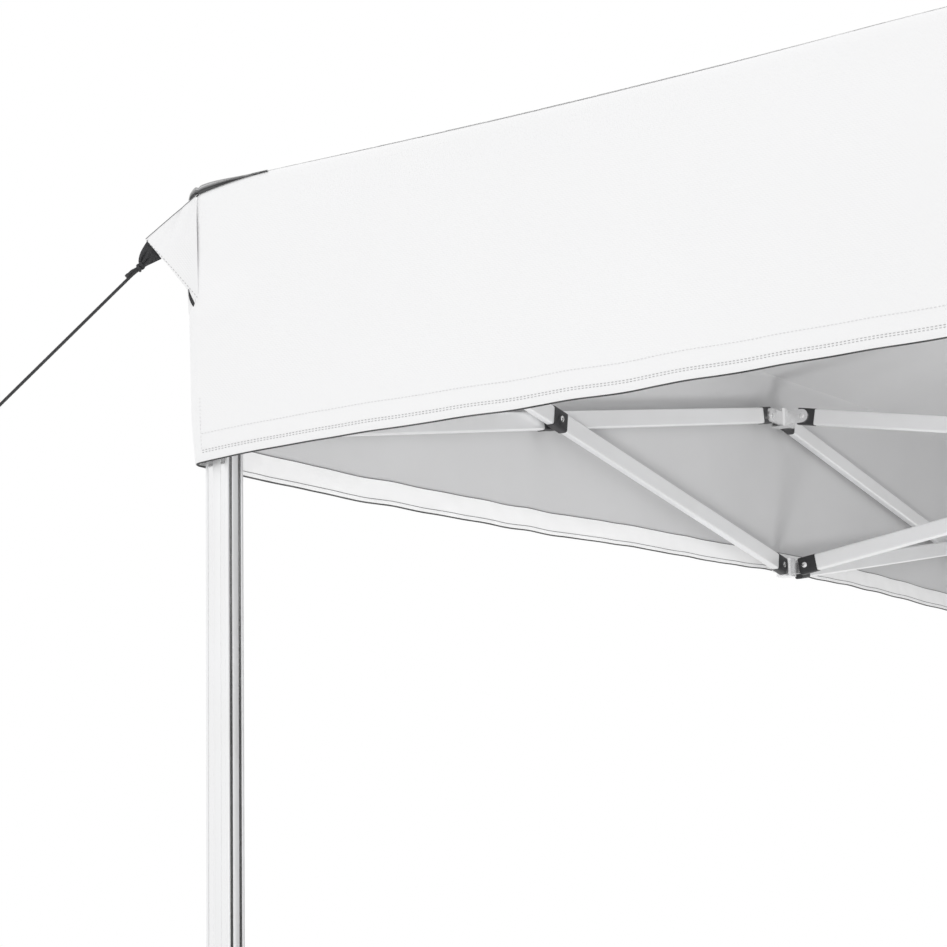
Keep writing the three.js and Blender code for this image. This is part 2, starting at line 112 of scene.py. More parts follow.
# ---- Camera, light and floor ----
CAMERA_AT = (0.2642, -3.8764, 1.4093)
CAMERA_YAW = radians(30.765)       # turned left of +Y
CAMERA_PITCH = radians(9.835)
CAMERA_ROLL = radians(-1.051)
CAMERA_LENS = 103.91
CAMERA_SENSOR = 36
CAMERA_FAR = 200

# Each light's place, the point it faces, its diameter and its power.
KEY_LIGHT = ((-2.5, -6.0, 6.0), (0, 0, 1.5), 5.0, 30)
FILL_LIGHT = ((0.15, -0.95, 0.60), (0.15, -0.95, 2.0), 1.0, 27)
FLOOR_RADIUS = 9.0
FLOOR_TONE = 0.78
FLAG_TOWARDS = (0.585, 0.811, 0)        # from the front left leg
FLAG_DISTANCE = 2.2
FLAG_HALF = 0.66
FLAG_HEIGHTS = (0.2, 2.60)
FLAG_TONE = 0.02
MATT = 0.9


def in_scene(name, data):
    made = bpy.data.objects.new(name, data)
    bpy.context.scene.collection.objects.link(made)
    return made


def make_camera():
    camera = in_scene("camera", bpy.data.cameras.new("camera"))
    camera.data.sensor_width = CAMERA_SENSOR
    camera.data.lens = CAMERA_LENS
    camera.data.clip_end = CAMERA_FAR
    aim = Matrix.Rotation(CAMERA_YAW, 4, "Z") @ Matrix.Rotation(pi / 2 + CAMERA_PITCH, 4, "X")
    camera.matrix_world = Matrix.Translation(CAMERA_AT) @ aim @ Matrix.Rotation(CAMERA_ROLL, 4, "Z")
    bpy.context.scene.camera = camera


def area_light(name, place, target, size, power):
    lamp = bpy.data.lights.new(name, "AREA")
    lamp.shape = "DISK"
    lamp.size = size
    lamp.energy = power
    light = in_scene(name, lamp)
    light.visible_camera = False
    direction = Vector(target) - Vector(place)
    light.matrix_world = Matrix.Translation(place) @ direction.to_track_quat("-Z", "Y").to_matrix().to_4x4()


def make_studio():
    world = bpy.data.worlds.new("studio")
    bpy.context.scene.world = world
    world.use_nodes = True
    background = world.node_tree.nodes["Background"]
    background.inputs["Color"].default_value = (1, 1, 1, 1)
    background.inputs["Strength"].default_value = 1.0
    bpy.context.scene.view_settings.view_transform = "Standard"
    area_light("key", *KEY_LIGHT)
    area_light("fill_under_the_roof", *FILL_LIGHT)
    floor = disc("studio_floor", FLOOR_RADIUS, 0.0, 64)
    floor.data.materials.append(principled("pale_floor", grey(FLOOR_TONE), MATT))
    dark_flag()


def dark_flag():
    """A dark card behind the front left leg, which only the polished metal sees, to draw its edges."""
    towards = Vector(FLAG_TOWARDS).normalized()
    across = Vector((-towards.y, towards.x, 0)) * FLAG_HALF
    middle = Vector((-LEG_AXIS, -LEG_AXIS, 0)) + towards * FLAG_DISTANCE
    low, high = [Z * z for z in FLAG_HEIGHTS]
    corners = [middle - across + low, middle + across + low, middle + across + high, middle - across + high]
    card = mesh_object("dark_flag", corners, [(0, 1, 2, 3)])
    card.data.materials.append(principled("flag_black", grey(FLAG_TONE), MATT))
    card.visible_camera = False
    card.visible_shadow = False
    card.visible_diffuse = False
    return card


# ---- Materials ----
def grey(tone, blue=0.0):
    return (tone, tone, tone + blue)


def principled(name, color, roughness, metallic=0.0):
    material = bpy.data.materials.new(name)
    material.use_nodes = True
    shader = material.node_tree.nodes["Principled BSDF"]
    shader.inputs["Base Color"].default_value = (*color, 1)
    shader.inputs["Roughness"].default_value = roughness
    shader.inputs["Metallic"].default_value = metallic
    return material


def node(material, kind, **values):
    made = material.node_tree.nodes.new(kind)
    for key, value in values.items():
        made.inputs[key.replace("_", " ")].default_value = value
    return made


def link(material, start, start_socket, end, end_socket):
    material.node_tree.links.new(start.outputs[start_socket], end.inputs[end_socket])


def shader_of(material):
    return material.node_tree.nodes["Principled BSDF"]


def object_noise(material, scale, detail, squeeze=(1, 1, 1), turn=(0, 0, 0)):
    """A noise texture in the object's own space, squeezed along its axes after a turn."""
    place = node(material, "ShaderNodeTexCoord")
    turn_node = node(material, "ShaderNodeMapping", Rotation=turn)
    mapping = node(material, "ShaderNodeMapping", Scale=squeeze)
    texture = node(material, "ShaderNodeTexNoise", Scale=scale, Detail=detail)
    link(material, place, "Object", turn_node, "Vector")
    link(material, turn_node, "Vector", mapping, "Vector")
    link(material, mapping, "Vector", texture, "Vector")
    return texture


def vary_color(material, texture, dark, light):
    ramp = node(material, "ShaderNodeValToRGB")
    for element, position, color in zip(ramp.color_ramp.elements, (0.3, 0.7), (dark, light)):
        element.position = position
        element.color = (*color, 1)
    link(material, texture, "Fac", ramp, "Fac")
    link(material, ramp, "Color", shader_of(material), "Base Color")


def vary_roughness(material, texture, low, high):
    spread = node(material, "ShaderNodeMapRange", To_Min=low, To_Max=high)
    link(material, texture, "Fac", spread, "Value")
    link(material, spread, "Result", shader_of(material), "Roughness")


def add_bump(material, textures):
    """Bumps stacked on each other, each given as (texture, socket, strength, distance)."""
    below = None
    for texture, socket, strength, distance in textures:
        bump = node(material, "ShaderNodeBump", Strength=strength, Distance=distance)
        link(material, texture, socket, bump, "Height")
        if below:
            link(material, below, "Normal", bump, "Normal")
        below = bump
    link(material, below, "Normal", shader_of(material), "Normal")


def weave(material, threads_a_metre):
    """Two crossed sets of threads, as the height of a plain weave in the object's space."""
    place = node(material, "ShaderNodeTexCoord")
    total = node(material, "ShaderNodeMath")
    total.operation = "ADD"
    for index, direction in enumerate(("DIAGONAL", "Z")):
        wave = node(material, "ShaderNodeTexWave", Scale=threads_a_metre / 6.3, Distortion=0.4)
        wave.bands_direction = direction
        link(material, place, "Object", wave, "Vector")
        material.node_tree.links.new(wave.outputs["Fac"], total.inputs[index])
    return total


def cloth_material(name, dark, light, roughness):
    material = principled(name, light, roughness)
    vary_color(material, object_noise(material, 3.0, 4), dark, light)
    slack = object_noise(material, 9.0, 3)
    add_bump(material, [(slack, "Fac", 0.25, 0.004), (weave(material, 900), "Value", 0.10, 0.0003)])
    return material


def webbing_material():
    material = principled("black_webbing", grey(0.018, 0.002), 0.55)
    vary_color(material, object_noise(material, 700, 2), grey(0.014, 0.001), grey(0.045, 0.003))
    add_bump(material, [(weave(material, 1400), "Value", 0.6, 0.0006)])
    return material


def plastic_material():
    material = principled("moulded_black_plastic", grey(0.022, 0.002), 0.42)
    vary_roughness(material, object_noise(material, 60, 3), 0.36, 0.52)
    vary_color(material, object_noise(material, 25, 4), grey(0.018, 0.002), grey(0.032, 0.002))
    add_bump(material, [(object_noise(material, 900, 3), "Fac", 0.25, 0.0002)])
    return material


# The near-black colour of the cord that paints the shadow under the hem, its tone varied at random.
def hem_shadow_material():
    material = principled("painted_hem_shadow", grey(0.05, 0.002), 0.6)
    vary_color(material, object_noise(material, 14, 2), grey(0.02), grey(0.09))
    return material


def aluminium(name, turn, tone, gloss, metallic=1.0):
    """Satin anodised aluminium with fine die lines along its length, which the turn lays along X."""
    color = (tone, tone * 1.004, tone * 1.012)
    material = principled(name, color, 0.3, metallic)
    lines = object_noise(material, 1.0, 3, squeeze=(1.5, 900, 900), turn=turn)
    cloud = object_noise(material, 6.0, 3)
    vary_roughness(material, cloud, gloss, gloss + 0.12)
    vary_color(material, cloud, grey(tone * 0.96), color)
    add_bump(material, [(lines, "Fac", 0.12, 0.0003)])
    return material


# Thread kept grey, partly its own colour and partly painted shade of its needle holes and topstitching.
def thread_material(name, tone):
    material = principled(name, grey(tone), 0.6)
    add_bump(material, [(object_noise(material, 2500, 1), "Fac", 0.5, 0.0003)])
    return material


def rivet_material():
    material = principled("bright_rivet", grey(0.90), 0.22, 1.0)
    vary_roughness(material, object_noise(material, 220, 3), 0.18, 0.34)
    add_bump(material, [(object_noise(material, 400, 3), "Fac", 0.15, 0.0002)])
    return material


def make_materials():
    slope = atan2(UPPER_Z - LOWER_Z, LEG_AXIS - 2 * PIVOT_REACH)
    upright = (0, pi / 2, 0)
    cloths = (
        ("cloth_outside", "white_cloth_outside", grey(0.92, 0.005), grey(0.935, 0.005), 0.62),
        ("cloth_inside", "grey_coated_cloth_inside", grey(0.585, 0.004), grey(0.625, 0.004), 0.50),
        ("tape", "white_hem_tape", grey(0.90), grey(0.93), 0.60),
        # The three tuck cloths are white roof cloth painted dark, grey and pale: painted shade of the fold at
        # the corner.
        ("tuck_dark", "tuck_painted_deep_shade", grey(0.05, 0.002), grey(0.11, 0.002), 0.7),
        ("tuck_grey", "tuck_painted_half_shade", grey(0.22, 0.002), grey(0.36, 0.004), 0.7),
        ("tuck_pale", "tuck_painted_light_shade", grey(0.62, 0.004), grey(0.74, 0.004), 0.7),
    )
    made = {key: cloth_material(*look) for key, *look in cloths}
    made.update({
        "webbing": webbing_material(),
        "plastic": plastic_material(),
        # The two thread greys also paint the shade of the needle holes.
        "thread": thread_material("grey_thread_and_hole_shade", 0.50),
        "pale_thread_and_hole_shade": thread_material("pale_thread_and_hole_shade", 0.80),
        "rivet": rivet_material(),
        "leg": aluminium("leg_aluminium", upright, 0.92, 0.50),
        "leg_groove": aluminium("polished_leg_groove", upright, 0.90, 0.17),
        "bracket": aluminium("bracket_aluminium", upright, 0.92, 0.20, 0.9),
        # Near-black painted shadow, for the shaded open mouth of a flap's pocket.
        "painted_pocket_shadow": principled("painted_pocket_shadow", grey(0.03, 0.002), 0.7),
        # Painted shadow under the hem.
        "painted_hem_shadow": hem_shadow_material(),
        # Dark grey painted shade, drawn as thin cords along the tape's seams and a flap's top edge.
        "seam": principled("painted_seam_shade", grey(0.20, 0.005), 0.7),
    })
    for label, quarter in (("x", 0), ("y", -pi / 2)):
        for way, sign in (("down", 1), ("up", -1)):
            turn = (0, sign * slope, quarter)
            made[f"bar_{label}_{way}"] = aluminium(f"bar_aluminium_{label}_{way}", turn, 0.93, 0.30, 0.45)
    return made


# ---- Meshes, whose materials are given by their keys in M ----
ROOF_CLOTH = ("cloth_outside", "cloth_inside")
WHITE_CLOTH = ("cloth_outside", "cloth_outside")
CLOTH_SHARP = 50


def mesh_object(name, points, faces, materials=(), slots=None, sharp=None):
    """A smooth mesh, with an edge kept sharp where it bends by more than the given degrees."""
    mesh = bpy.data.meshes.new(name)
    mesh.from_pydata([tuple(p) for p in points], [], faces)
    mesh.validate()
    for key in materials:
        mesh.materials.append(M[key])
    for index, polygon in enumerate(mesh.polygons):
        polygon.use_smooth = True
        if slots:
            polygon.material_index = slots[index]
    if sharp:
        mesh.set_sharp_from_angle(angle=radians(sharp))
    return in_scene(name, mesh)


def circle(count):
    """The cosines and sines of evenly spaced angles."""
    angles = [2 * pi * i / count for i in range(count)]
    return [(cos(angle), sin(angle)) for angle in angles]


def level_circle(radius, z, count):
    return [(radius * c, radius * s, z) for c, s in circle(count)]


def circle_about(centre, side, up, count):
    """Points round a centre, with side and up as the circle's half axes."""
    return [centre + side * c + up * s for c, s in circle(count)]


def disc(name, radius, z, sides):
    points = [(0, 0, z)] + level_circle(radius, z, sides)
    return mesh_object(name, points, [(0, 1 + i, 1 + (i + 1) % sides) for i in range(sides)])


class Build:
    """Points and faces collected from several shapes, which become one piece."""

    def __init__(self):
        self.points = []
        self.faces = []
        self.slots = []

    def add(self, points, faces, place=Matrix.Identity(4)):
        start = len(self.points)
        self.points += [place @ Vector(p) for p in points]
        self.faces += [tuple(start + i for i in face) for face in faces]
        self.slots += [0] * len(faces)

    def piece(self, name, *materials, sharp=35):
        return mesh_object(name, self.points, self.faces, materials, self.slots, sharp)


def band(lower, upper, count):
    """Faces between two loops of points, given by the numbers of their first points."""
    return [(lower + i, lower + (i + 1) % count, upper + (i + 1) % count, upper + i) for i in range(count)]


def rings(loops, ends="filled"):
    """Points and faces of a row of loops of equal numbers of points, its ends filled, open or joined."""
    points = [p for loop in loops for p in loop]
    count = len(loops[0])
    last = len(points) - count
    faces = []
    for start in range(0, last, count):
        faces += band(start, start + count, count)
    if ends == "filled":
        faces += [tuple(reversed(range(count))), tuple(range(last, last + count))]
    elif ends == "joined":
        faces += band(last, 0, count)
    return points, faces


def rounded_loop(half_y, half_z, radius, x):
    """A rounded rectangle in the plane of the given x, anticlockwise seen from +X."""
    loop = []
    for turn, (sy, sz) in enumerate(((1, 1), (-1, 1), (-1, -1), (1, -1))):
        for share in steps(4):
            angle = pi / 2 * (turn + share)
            y = sy * (half_y - radius) + radius * cos(angle)
            z = sz * (half_z - radius) + radius * sin(angle)
            loop.append((x, y, z))
    return loop


def dome(radius, height, sides=20):
    """A rivet head on the plane z = 0, with a flat rim and a round crown."""
    rim = height * 0.35
    loops = [level_circle(radius, 0.0, sides), level_circle(radius, rim, sides)]
    for step in steps(5)[1:-1]:
        angle = pi / 2 * step
        z = rim + (height - rim) * sin(angle)
        loops.append(level_circle(radius * 0.92 * cos(angle), z, sides))
    return rings(loops)


def step_at(points, i):
    """The way from the point before the i-th to the point after it."""
    return Vector(points[min(i + 1, len(points) - 1)]) - Vector(points[max(i - 1, 0)])


def tube_along(build, centres, radii, sides=8, guide=(0.13, 0.07, 1), place=Matrix.Identity(4)):
    """A round cord along the centres, one radius for each. The guide only sets where its circles start."""
    loops = []
    for i, (centre, radius) in enumerate(zip(centres, radii)):
        ahead = step_at(centres, i).normalized()
        side = ahead.cross(Vector(guide)).normalized()
        loops.append(circle_about(centre, side * radius, side.cross(ahead) * radius, sides))
    build.add(*rings(loops), place=place)


def attach(piece, body):
    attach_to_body(piece, body)


def on_leg(piece, k):
    attach(piece, f"{CORNERS[k]}_outer_leg")


# ---- The bars' caps, saddles and rivets ----
CAP_WALL = 0.0008
CAP_REACH = 0.019
CAP_END = -0.0102
CAP_BEVEL = 0.0008
SADDLE_HALF = 0.0175
SADDLE_WALL = 0.0012
SADDLE_ROLL = 0.0006
SADDLE_RIM_RADIUS = 0.0032
SADDLE_RADIUS = 0.0035
SLEEVE_FIT = 0.00005        # between a bar and what is pushed over it
BAR_RADIUS = 0.0025
BAR_OVERHANG = 0.009
RIVET_RADIUS = 0.0042
RIVET_HEIGHT = 0.0018
BOSS_RADIUS = 0.0085
BOSS_HEIGHT = 0.0012
FACE_TURN = Matrix.Rotation(-pi / 2, 4, "X")   # takes +Z to +Y


def loops_round_bar(levels):
    """Rounded loops about a bar, each given as (distance off its faces, corner radius, x)."""
    half_y, half_z = BAR_THICKNESS / 2, BAR_HEIGHT / 2
    return [rounded_loop(half_y + off, half_z + off, radius, x) for off, radius, x in levels]


def cap_shape():
    """A thin box over a bar's end: the bar comes out towards +X, and the pivot is at the origin."""
    outer = BAR_RADIUS + CAP_WALL
    return rings(loops_round_bar([
        (SLEEVE_FIT, BAR_RADIUS, -BAR_OVERHANG - SLEEVE_FIT),
        (SLEEVE_FIT, BAR_RADIUS, CAP_REACH),
        (CAP_WALL, outer, CAP_REACH),
        (CAP_WALL, outer, CAP_END + CAP_BEVEL),
        (0, BAR_RADIUS, CAP_END),
    ]))


def saddle_shape():
    """A sleeve round a bar where two bars cross, with a rolled rim at each end."""
    rim, off = SLEEVE_FIT + SADDLE_WALL * 0.6, SLEEVE_FIT + SADDLE_WALL
    shoulder = SADDLE_HALF - SADDLE_ROLL
    return rings(loops_round_bar([
        (SLEEVE_FIT, BAR_RADIUS, -SADDLE_HALF),
        (SLEEVE_FIT, BAR_RADIUS, SADDLE_HALF),
        (rim, SADDLE_RIM_RADIUS, SADDLE_HALF),
        (off, SADDLE_RADIUS, shoulder),
        (off, SADDLE_RADIUS, -shoulder),
        (rim, SADDLE_RIM_RADIUS, -SADDLE_HALF),
    ]), "joined")


def bar_place(pivot, towards, side_normal):
    """The place of a shape made along +X whose +Y is the bar's outward side."""
    along = (Vector(towards) - Vector(pivot)).normalized()
    outward = Vector(side_normal)
    up = along.cross(outward)
    turn = Matrix((along, outward, up)).transposed().to_4x4()
    return Matrix.Translation(pivot) @ turn


def raised(distance, turn=0.0):
    """The place of a head that stands at this distance from a bar's middle plane."""
    return Matrix.Translation(Y * distance) @ Matrix.Rotation(turn, 4, "Z") @ FACE_TURN


def bar_fittings(name, start, end, outward, k):
    """Caps at both ends, half a crossing saddle in the middle, and the rivet heads, on one bar."""
    quarter = turned(k)
    plastic, metal = Build(), Build()
    rivet = dome(RIVET_RADIUS, RIVET_HEIGHT)
    face = BAR_THICKNESS / 2
    for pivot, towards in ((start, end), (end, start)):
        place = quarter @ bar_place(pivot, towards, outward)
        plastic.add(*cap_shape(), place=place)
        metal.add(*rivet, place=place @ raised(face + CAP_WALL))
        metal.add(*rivet, place=place @ raised(-BAR_OFFSET - LUG_FAR_FACE, pi))
    place = quarter @ bar_place((Vector(start) + Vector(end)) / 2, end, outward)
    plastic.add(*saddle_shape(), place=place)
    plastic.add(*dome(BOSS_RADIUS, BOSS_HEIGHT), place=place @ raised(face + SADDLE_WALL))
    metal.add(*rivet, place=place @ raised(face + SADDLE_WALL + BOSS_HEIGHT))
    attach(plastic.piece(f"{name}_caps_and_saddle", "plastic"), name)
    attach(metal.piece(f"{name}_rivets", "rivet"), name)


def side_bars(k):
    """(name, start pivot, end pivot, outward direction) of the six bars of a side, unturned."""
    side = SIDES[k]
    far = -LEG_AXIS + PIVOT_REACH
    near_y, x = -PIVOT_REACH, BAR_OFFSET
    bars = [
        (f"{side}_centre_rising_bar", (x, near_y, UPPER_Z), (x, far, LOWER_Z), (1, 0, 0)),
        (f"{side}_centre_falling_bar", (-x, far, UPPER_Z), (-x, near_y, LOWER_Z), (-1, 0, 0)),
    ]
    inner, outer = -LEG_AXIS + BAR_OFFSET, -LEG_AXIS - BAR_OFFSET
    for sign, corner in ((-1, CORNERS[k]), (1, CORNERS[(k + 3) % 4])):
        near, out = sign * PIVOT_REACH, sign * (LEG_AXIS - PIVOT_REACH)
        falling = ((out, inner, UPPER_Z), (near, inner, LOWER_Z), (0, 1, 0))
        rising = ((out, outer, LOWER_Z), (near, outer, UPPER_Z), (0, -1, 0))
        for way, place in (("falling", falling), ("rising", rising)):
            bars.append((f"{side}_truss_{way}_bar_at_{corner}", *place))
    return bars


def bar_material(start, end, k):
    """The aluminium whose die lines follow the bar."""
    direction = turned(k) @ (Vector(end) - Vector(start))
    label = "x" if abs(direction.x) > abs(direction.y) else "y"
    run = direction.x if label == "x" else direction.y
    way = "down" if run * direction.z < 0 else "up"
    return M[f"bar_{label}_{way}"]


def give(node_name, material):
    """A new material for a CAD node that stays."""
    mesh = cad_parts[node_name].data
    mesh.materials.clear()
    mesh.materials.append(material)


def make_trusses():
    for k in range(4):
        for name, start, end, outward in side_bars(k):
            give(name, bar_material(start, end, k))
            bar_fittings(name, start, end, outward, k)
        for level in ("upper", "lower"):
            give(f"{SIDES[k]}_{level}_mid_bracket", M["bracket"])


# ---- Legs, sliders, hubs and mast ----
LEG_CORNER = 0.0014
GROOVE_INNER = 0.0050
GROOVE_OUTER = 0.0115
GROOVE_DEPTH = 0.0009
GROOVE_LIP = 0.0003
BAND_CROWN = 0.00045
GROOVE_FLOORS = (2, 13)     # which strips of a face's outline are its two groove floors
LEG_WALL = 0.002
LEG_ENDS = (LEG_BOTTOM_Z + 0.0005, UPPER_Z - 0.0165)
FITTING_BORE = 0.0152
FITTING_RADIUS = 0.003
FITTING_SOFT_RIM = 0.0008
BRACKET_HALF = 0.017
BRACKET_Z = (UPPER_Z - 0.016, UPPER_Z + 0.022)
LID_CROWN = 0.0015
COLLAR_HALF = 0.019
COLLAR_HEIGHT = 0.050
LUG_NEAR = 0.016
LUG_RADIUS = 0.0105
LUG_NEAR_FACE = 0.001


def corner_place(k):
    return turned(k) @ Matrix.Translation((-LEG_AXIS, -LEG_AXIS, 0))


def ribbed_square():
    """The leg's outline: each face has a slightly crowned band in its middle, between two wide grooves."""
    half = LEG_HALF
    floor = half - GROOVE_DEPTH
    face = [(-half + LEG_CORNER, half), (-GROOVE_OUTER - GROOVE_LIP, half), (-GROOVE_OUTER, floor)]
    face.append((-GROOVE_INNER - GROOVE_LIP, floor))
    for step in steps(8):
        share = 2 * step - 1
        face.append((share * GROOVE_INNER, half - BAND_CROWN * share ** 2))
    face += [(GROOVE_INNER + GROOVE_LIP, floor), (GROOVE_OUTER, floor), (GROOVE_OUTER + GROOVE_LIP, half)]
    for step in steps(4):
        angle = pi / 2 * (1 - step)
        x = half - LEG_CORNER + LEG_CORNER * cos(angle)
        y = half - LEG_CORNER + LEG_CORNER * sin(angle)
        face.append((x, y))
    outline = []
    for quarter in range(4):
        c, s = cos(-quarter * pi / 2), sin(-quarter * pi / 2)
        outline += [(c * x - s * y, s * x + c * y) for x, y in face[:-1]]
    return outline


def inner_square(outline):
    """The leg's square bore, with a point for each of the outline's."""
    points = []
    for x, y in outline:
        scale = (LEG_HALF - LEG_WALL) / max(abs(x), abs(y))
        points.append((x * scale, y * scale))
    return points


def square_loop(half, radius, z):
    return [(x, y, z) for _, x, y in rounded_loop(half, half, radius, 0)]


def square_sleeve(half, low, high):
    """A square tube piece round the leg, with rounded corners and softened rims, standing along Z."""
    soft = FITTING_SOFT_RIM
    levels = ((half - soft, high), (half, high - soft), (half, low + soft), (half - soft, low))
    bore = [square_loop(FITTING_BORE, FITTING_RADIUS * 0.4, z) for z in (low, high)]
    return rings(bore + [square_loop(size, FITTING_RADIUS, z) for size, z in levels], "joined")


def leg_tube(corner, k):
    outline = ribbed_square()
    bore = inner_square(outline)
    low, high = LEG_ENDS
    levels = ((bore, low), (bore, high), (outline, high), (outline, low))
    points, faces = rings([[(x, y, z) for x, y in shape] for shape, z in levels], "joined")
    build = Build()
    build.add(points, [face[::-1] for face in faces], place=corner_place(k))
    count = len(outline)
    for i in range(count):
        if i % (count // 4) in GROOVE_FLOORS:
            build.slots[2 * count + i] = 1
    made = build.piece(f"{corner}_leg_extrusion", "leg", "leg_groove", sharp=25)
    on_leg(made, k)
    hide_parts(f"{corner}_outer_leg")


def lug_shape():
    """A hinge lug along +X with a round end at the pivot, its faces towards -Y and +Y."""
    outline = [(LUG_NEAR, LUG_RADIUS), (LUG_NEAR, -LUG_RADIUS)]
    for step in steps(12):
        angle = pi * (step - 0.5)
        outline.append((PIVOT_REACH + LUG_RADIUS * cos(angle), LUG_RADIUS * sin(angle)))
    return rings([[(x, y, z) for x, z in outline] for y in (-LUG_FAR_FACE, LUG_NEAR_FACE)])


def leg_fittings(corner, k):
    """The black top bracket with its two hinge lugs, and the collar at the outer leg's lower end."""
    place = corner_place(k)
    low, high = BRACKET_Z
    top, bottom = Build(), Build()
    top.add(*square_sleeve(BRACKET_HALF, low, high - 0.001), place=place)
    lid = ((BRACKET_HALF, high - 0.0015), (BRACKET_HALF, high - 0.0006), (BRACKET_HALF - LID_CROWN, high))
    top.add(*rings([square_loop(half, FITTING_RADIUS, z) for half, z in lid]), place=place)
    points, faces = lug_shape()
    place_lug = place @ Matrix.Translation(Z * UPPER_Z)
    swap_x_and_y = Matrix(((0, 1, 0, 0), (1, 0, 0, 0), (0, 0, 1, 0), (0, 0, 0, 1)))
    top.add(points, faces, place=place_lug)
    top.add(points, [face[::-1] for face in faces], place=place_lug @ swap_x_and_y)
    bottom.add(*square_sleeve(COLLAR_HALF, LEG_BOTTOM_Z, LEG_BOTTOM_Z + COLLAR_HEIGHT), place=place)
    on_leg(top.piece(f"{corner}_leg_top_bracket", "plastic"), k)
    on_leg(bottom.piece(f"{corner}_leg_collar", "plastic"), k)


def make_legs():
    for k, corner in enumerate(CORNERS):
        leg_tube(corner, k)
        leg_fittings(corner, k)
        give(f"{corner}_inner_leg", M["leg"])
        for part in ("slider", "slider_button", "leg_button"):
            give(f"{corner}_{part}", M["plastic"])


def make_centre():
    for name in ("upper_hub", "lower_hub", "mast_head"):
        give(name, M["plastic"])
    give("mast_tube", M["leg"])


# ---- The roof ----
ROOF_SAG = 0.022
CORNER_DIP = 0.0130
CORNER_DIP_REACH = 0.11
WRINKLE = 0.0022
EAVE_WAVE = 0.0016
EAVE_WAVE_REACH = 0.25
FRONT_STRIP = 0.02          # how far from the front face the front edge's own lift still counts
FRONT_HEM_LIFT = 0.013
FRONT_HEM_START = 0.12
FRONT_HEM_REACH = 1.5
FRONT_TOP_LIFT = 0.012
FRONT_TOP_REACH = 1.2
FRONT_FADE = 1.6
SLOPE_STEP = 0.002
GORE_TOP_SHARE = 0.6        # of the peak patch's radius, where the gores start under it
GORE_CROWDING = 0.8         # under 1, the rows of a gore lie closer towards the eave
PATCH_LIFT = 0.0015
PATCH_RIM_LIFT = 0.0004
PATCH_STILL = 0.0025        # a height over the patch's rim
GORE_ROWS = 30
GORE_COLUMNS = 4
PATCH_RINGS = 13
PATCH_SIDES = 48
PATCH_THICKNESS = 0.0028


def wrinkle(x, y, z, scale, seed):
    return noise.noise(Vector((x, y, z)) * scale + Vector((seed, seed * 0.7, -seed)))


def rise(distance, reach):
    """A smooth rise from 0 to 1 along the given reach."""
    return sin(pi / 2 * min(1.0, max(0.0, distance) / reach)) ** 2


def edge_lift(x, y, height_share):
    """How much higher the cloth's edge is at a place on it than at the roped corner.

    The height share is 1 at the eave and 0 at the hem."""
    from_corner = (x + CLOTH_HALF) + (y + CLOTH_HALF)
    lift = EDGE_LIFT * rise(from_corner, LIFT_REACH)
    if y < -CLOTH_HALF + FRONT_STRIP and y <= x:
        fade = 1 - rise(from_corner - FRONT_TOP_REACH, FRONT_FADE)
        hem = FRONT_HEM_LIFT * (1 - exp(-from_corner / FRONT_HEM_START))
        hem *= exp(-from_corner / FRONT_HEM_REACH)
        top = FRONT_TOP_LIFT * rise(from_corner, FRONT_TOP_REACH)
        lift += fade * (hem * (1 - height_share) + top * height_share)
    return lift


def corner_dip(x, y):
    """How far the cloth's edge is drawn down near a corner of the eave."""
    away = hypot(CLOTH_HALF - abs(x), CLOTH_HALF - abs(y))
    return CORNER_DIP * max(0.0, 1 - away / CORNER_DIP_REACH) ** 2


def eave_wave(x, y):
    """The slight rise and fall of the eave along a side, which dies out at the corners."""
    fade = min(1.0, (CLOTH_HALF - min(abs(x), abs(y))) / EAVE_WAVE_REACH)
    return EAVE_WAVE * fade * wrinkle(x, y, 0, 4.5, 3.0)


def roof_height(x, y):
    high = max(abs(x), abs(y), 1e-9)
    low = min(abs(x), abs(y))
    across = high / CLOTH_HALF
    along = low / high
    edge = EAVE_Z + edge_lift(x / across, y / across, 1.0)
    straight = edge + (PEAK_Z - 0.002 - edge) * (1 - across)
    sag = ROOF_SAG * 4 * across * (1 - across) * (1 - along ** 2)
    folds = WRINKLE * wrinkle(x, y, 0, 5.0, 1.0) * min(1, 6 * (1 - across)) * min(1, 4 * (1 - along))
    return straight - sag + folds - corner_dip(x, y) + eave_wave(x, y) * across ** 8


def roof_normal(x, y):
    step = SLOPE_STEP
    dx = (roof_height(x + step, y) - roof_height(x - step, y)) / (2 * step)
    dy = (roof_height(x, y + step) - roof_height(x, y - step)) / (2 * step)
    return Vector((-dx, -dy, 1)).normalized()


def cloth_solid(name, rows, thickness, materials, normals=None):
    """A grid of points made into a sheet with two faces and a rim. The far face lies against the normal."""
    count_r, count_c = len(rows), len(rows[0])
    flat = [Vector(p) for row in rows for p in row]
    points = flat + [p - n * thickness for p, n in zip(flat, normals or grid_normals(rows))]
    size = len(flat)
    faces, slots = [], []
    for r in range(count_r - 1):
        for a in range(r * count_c, (r + 1) * count_c - 1):
            b = a + count_c
            faces += [(a, a + 1, b + 1, b), (size + a, size + b, size + b + 1, size + a + 1)]
            slots += [0, 1]
    rim = list(range(count_c))
    rim += [r * count_c + count_c - 1 for r in range(1, count_r)]
    rim += [(count_r - 1) * count_c + c for c in range(count_c - 2, -1, -1)]
    rim += [r * count_c for r in range(count_r - 2, 0, -1)]
    for a, b in zip(rim, rim[1:] + rim[:1]):
        faces.append((b, a, size + a, size + b))
        slots.append(0)
    return mesh_object(name, points, faces, materials, slots, CLOTH_SHARP)


def grid_normals(rows):
    """Normals of a grid of points, by differences along its rows and columns."""
    columns = list(zip(*rows))
    return [
        step_at(row, c).cross(step_at(columns[c], r)).normalized()
        for r, row in enumerate(rows) for c in range(len(row))
    ]


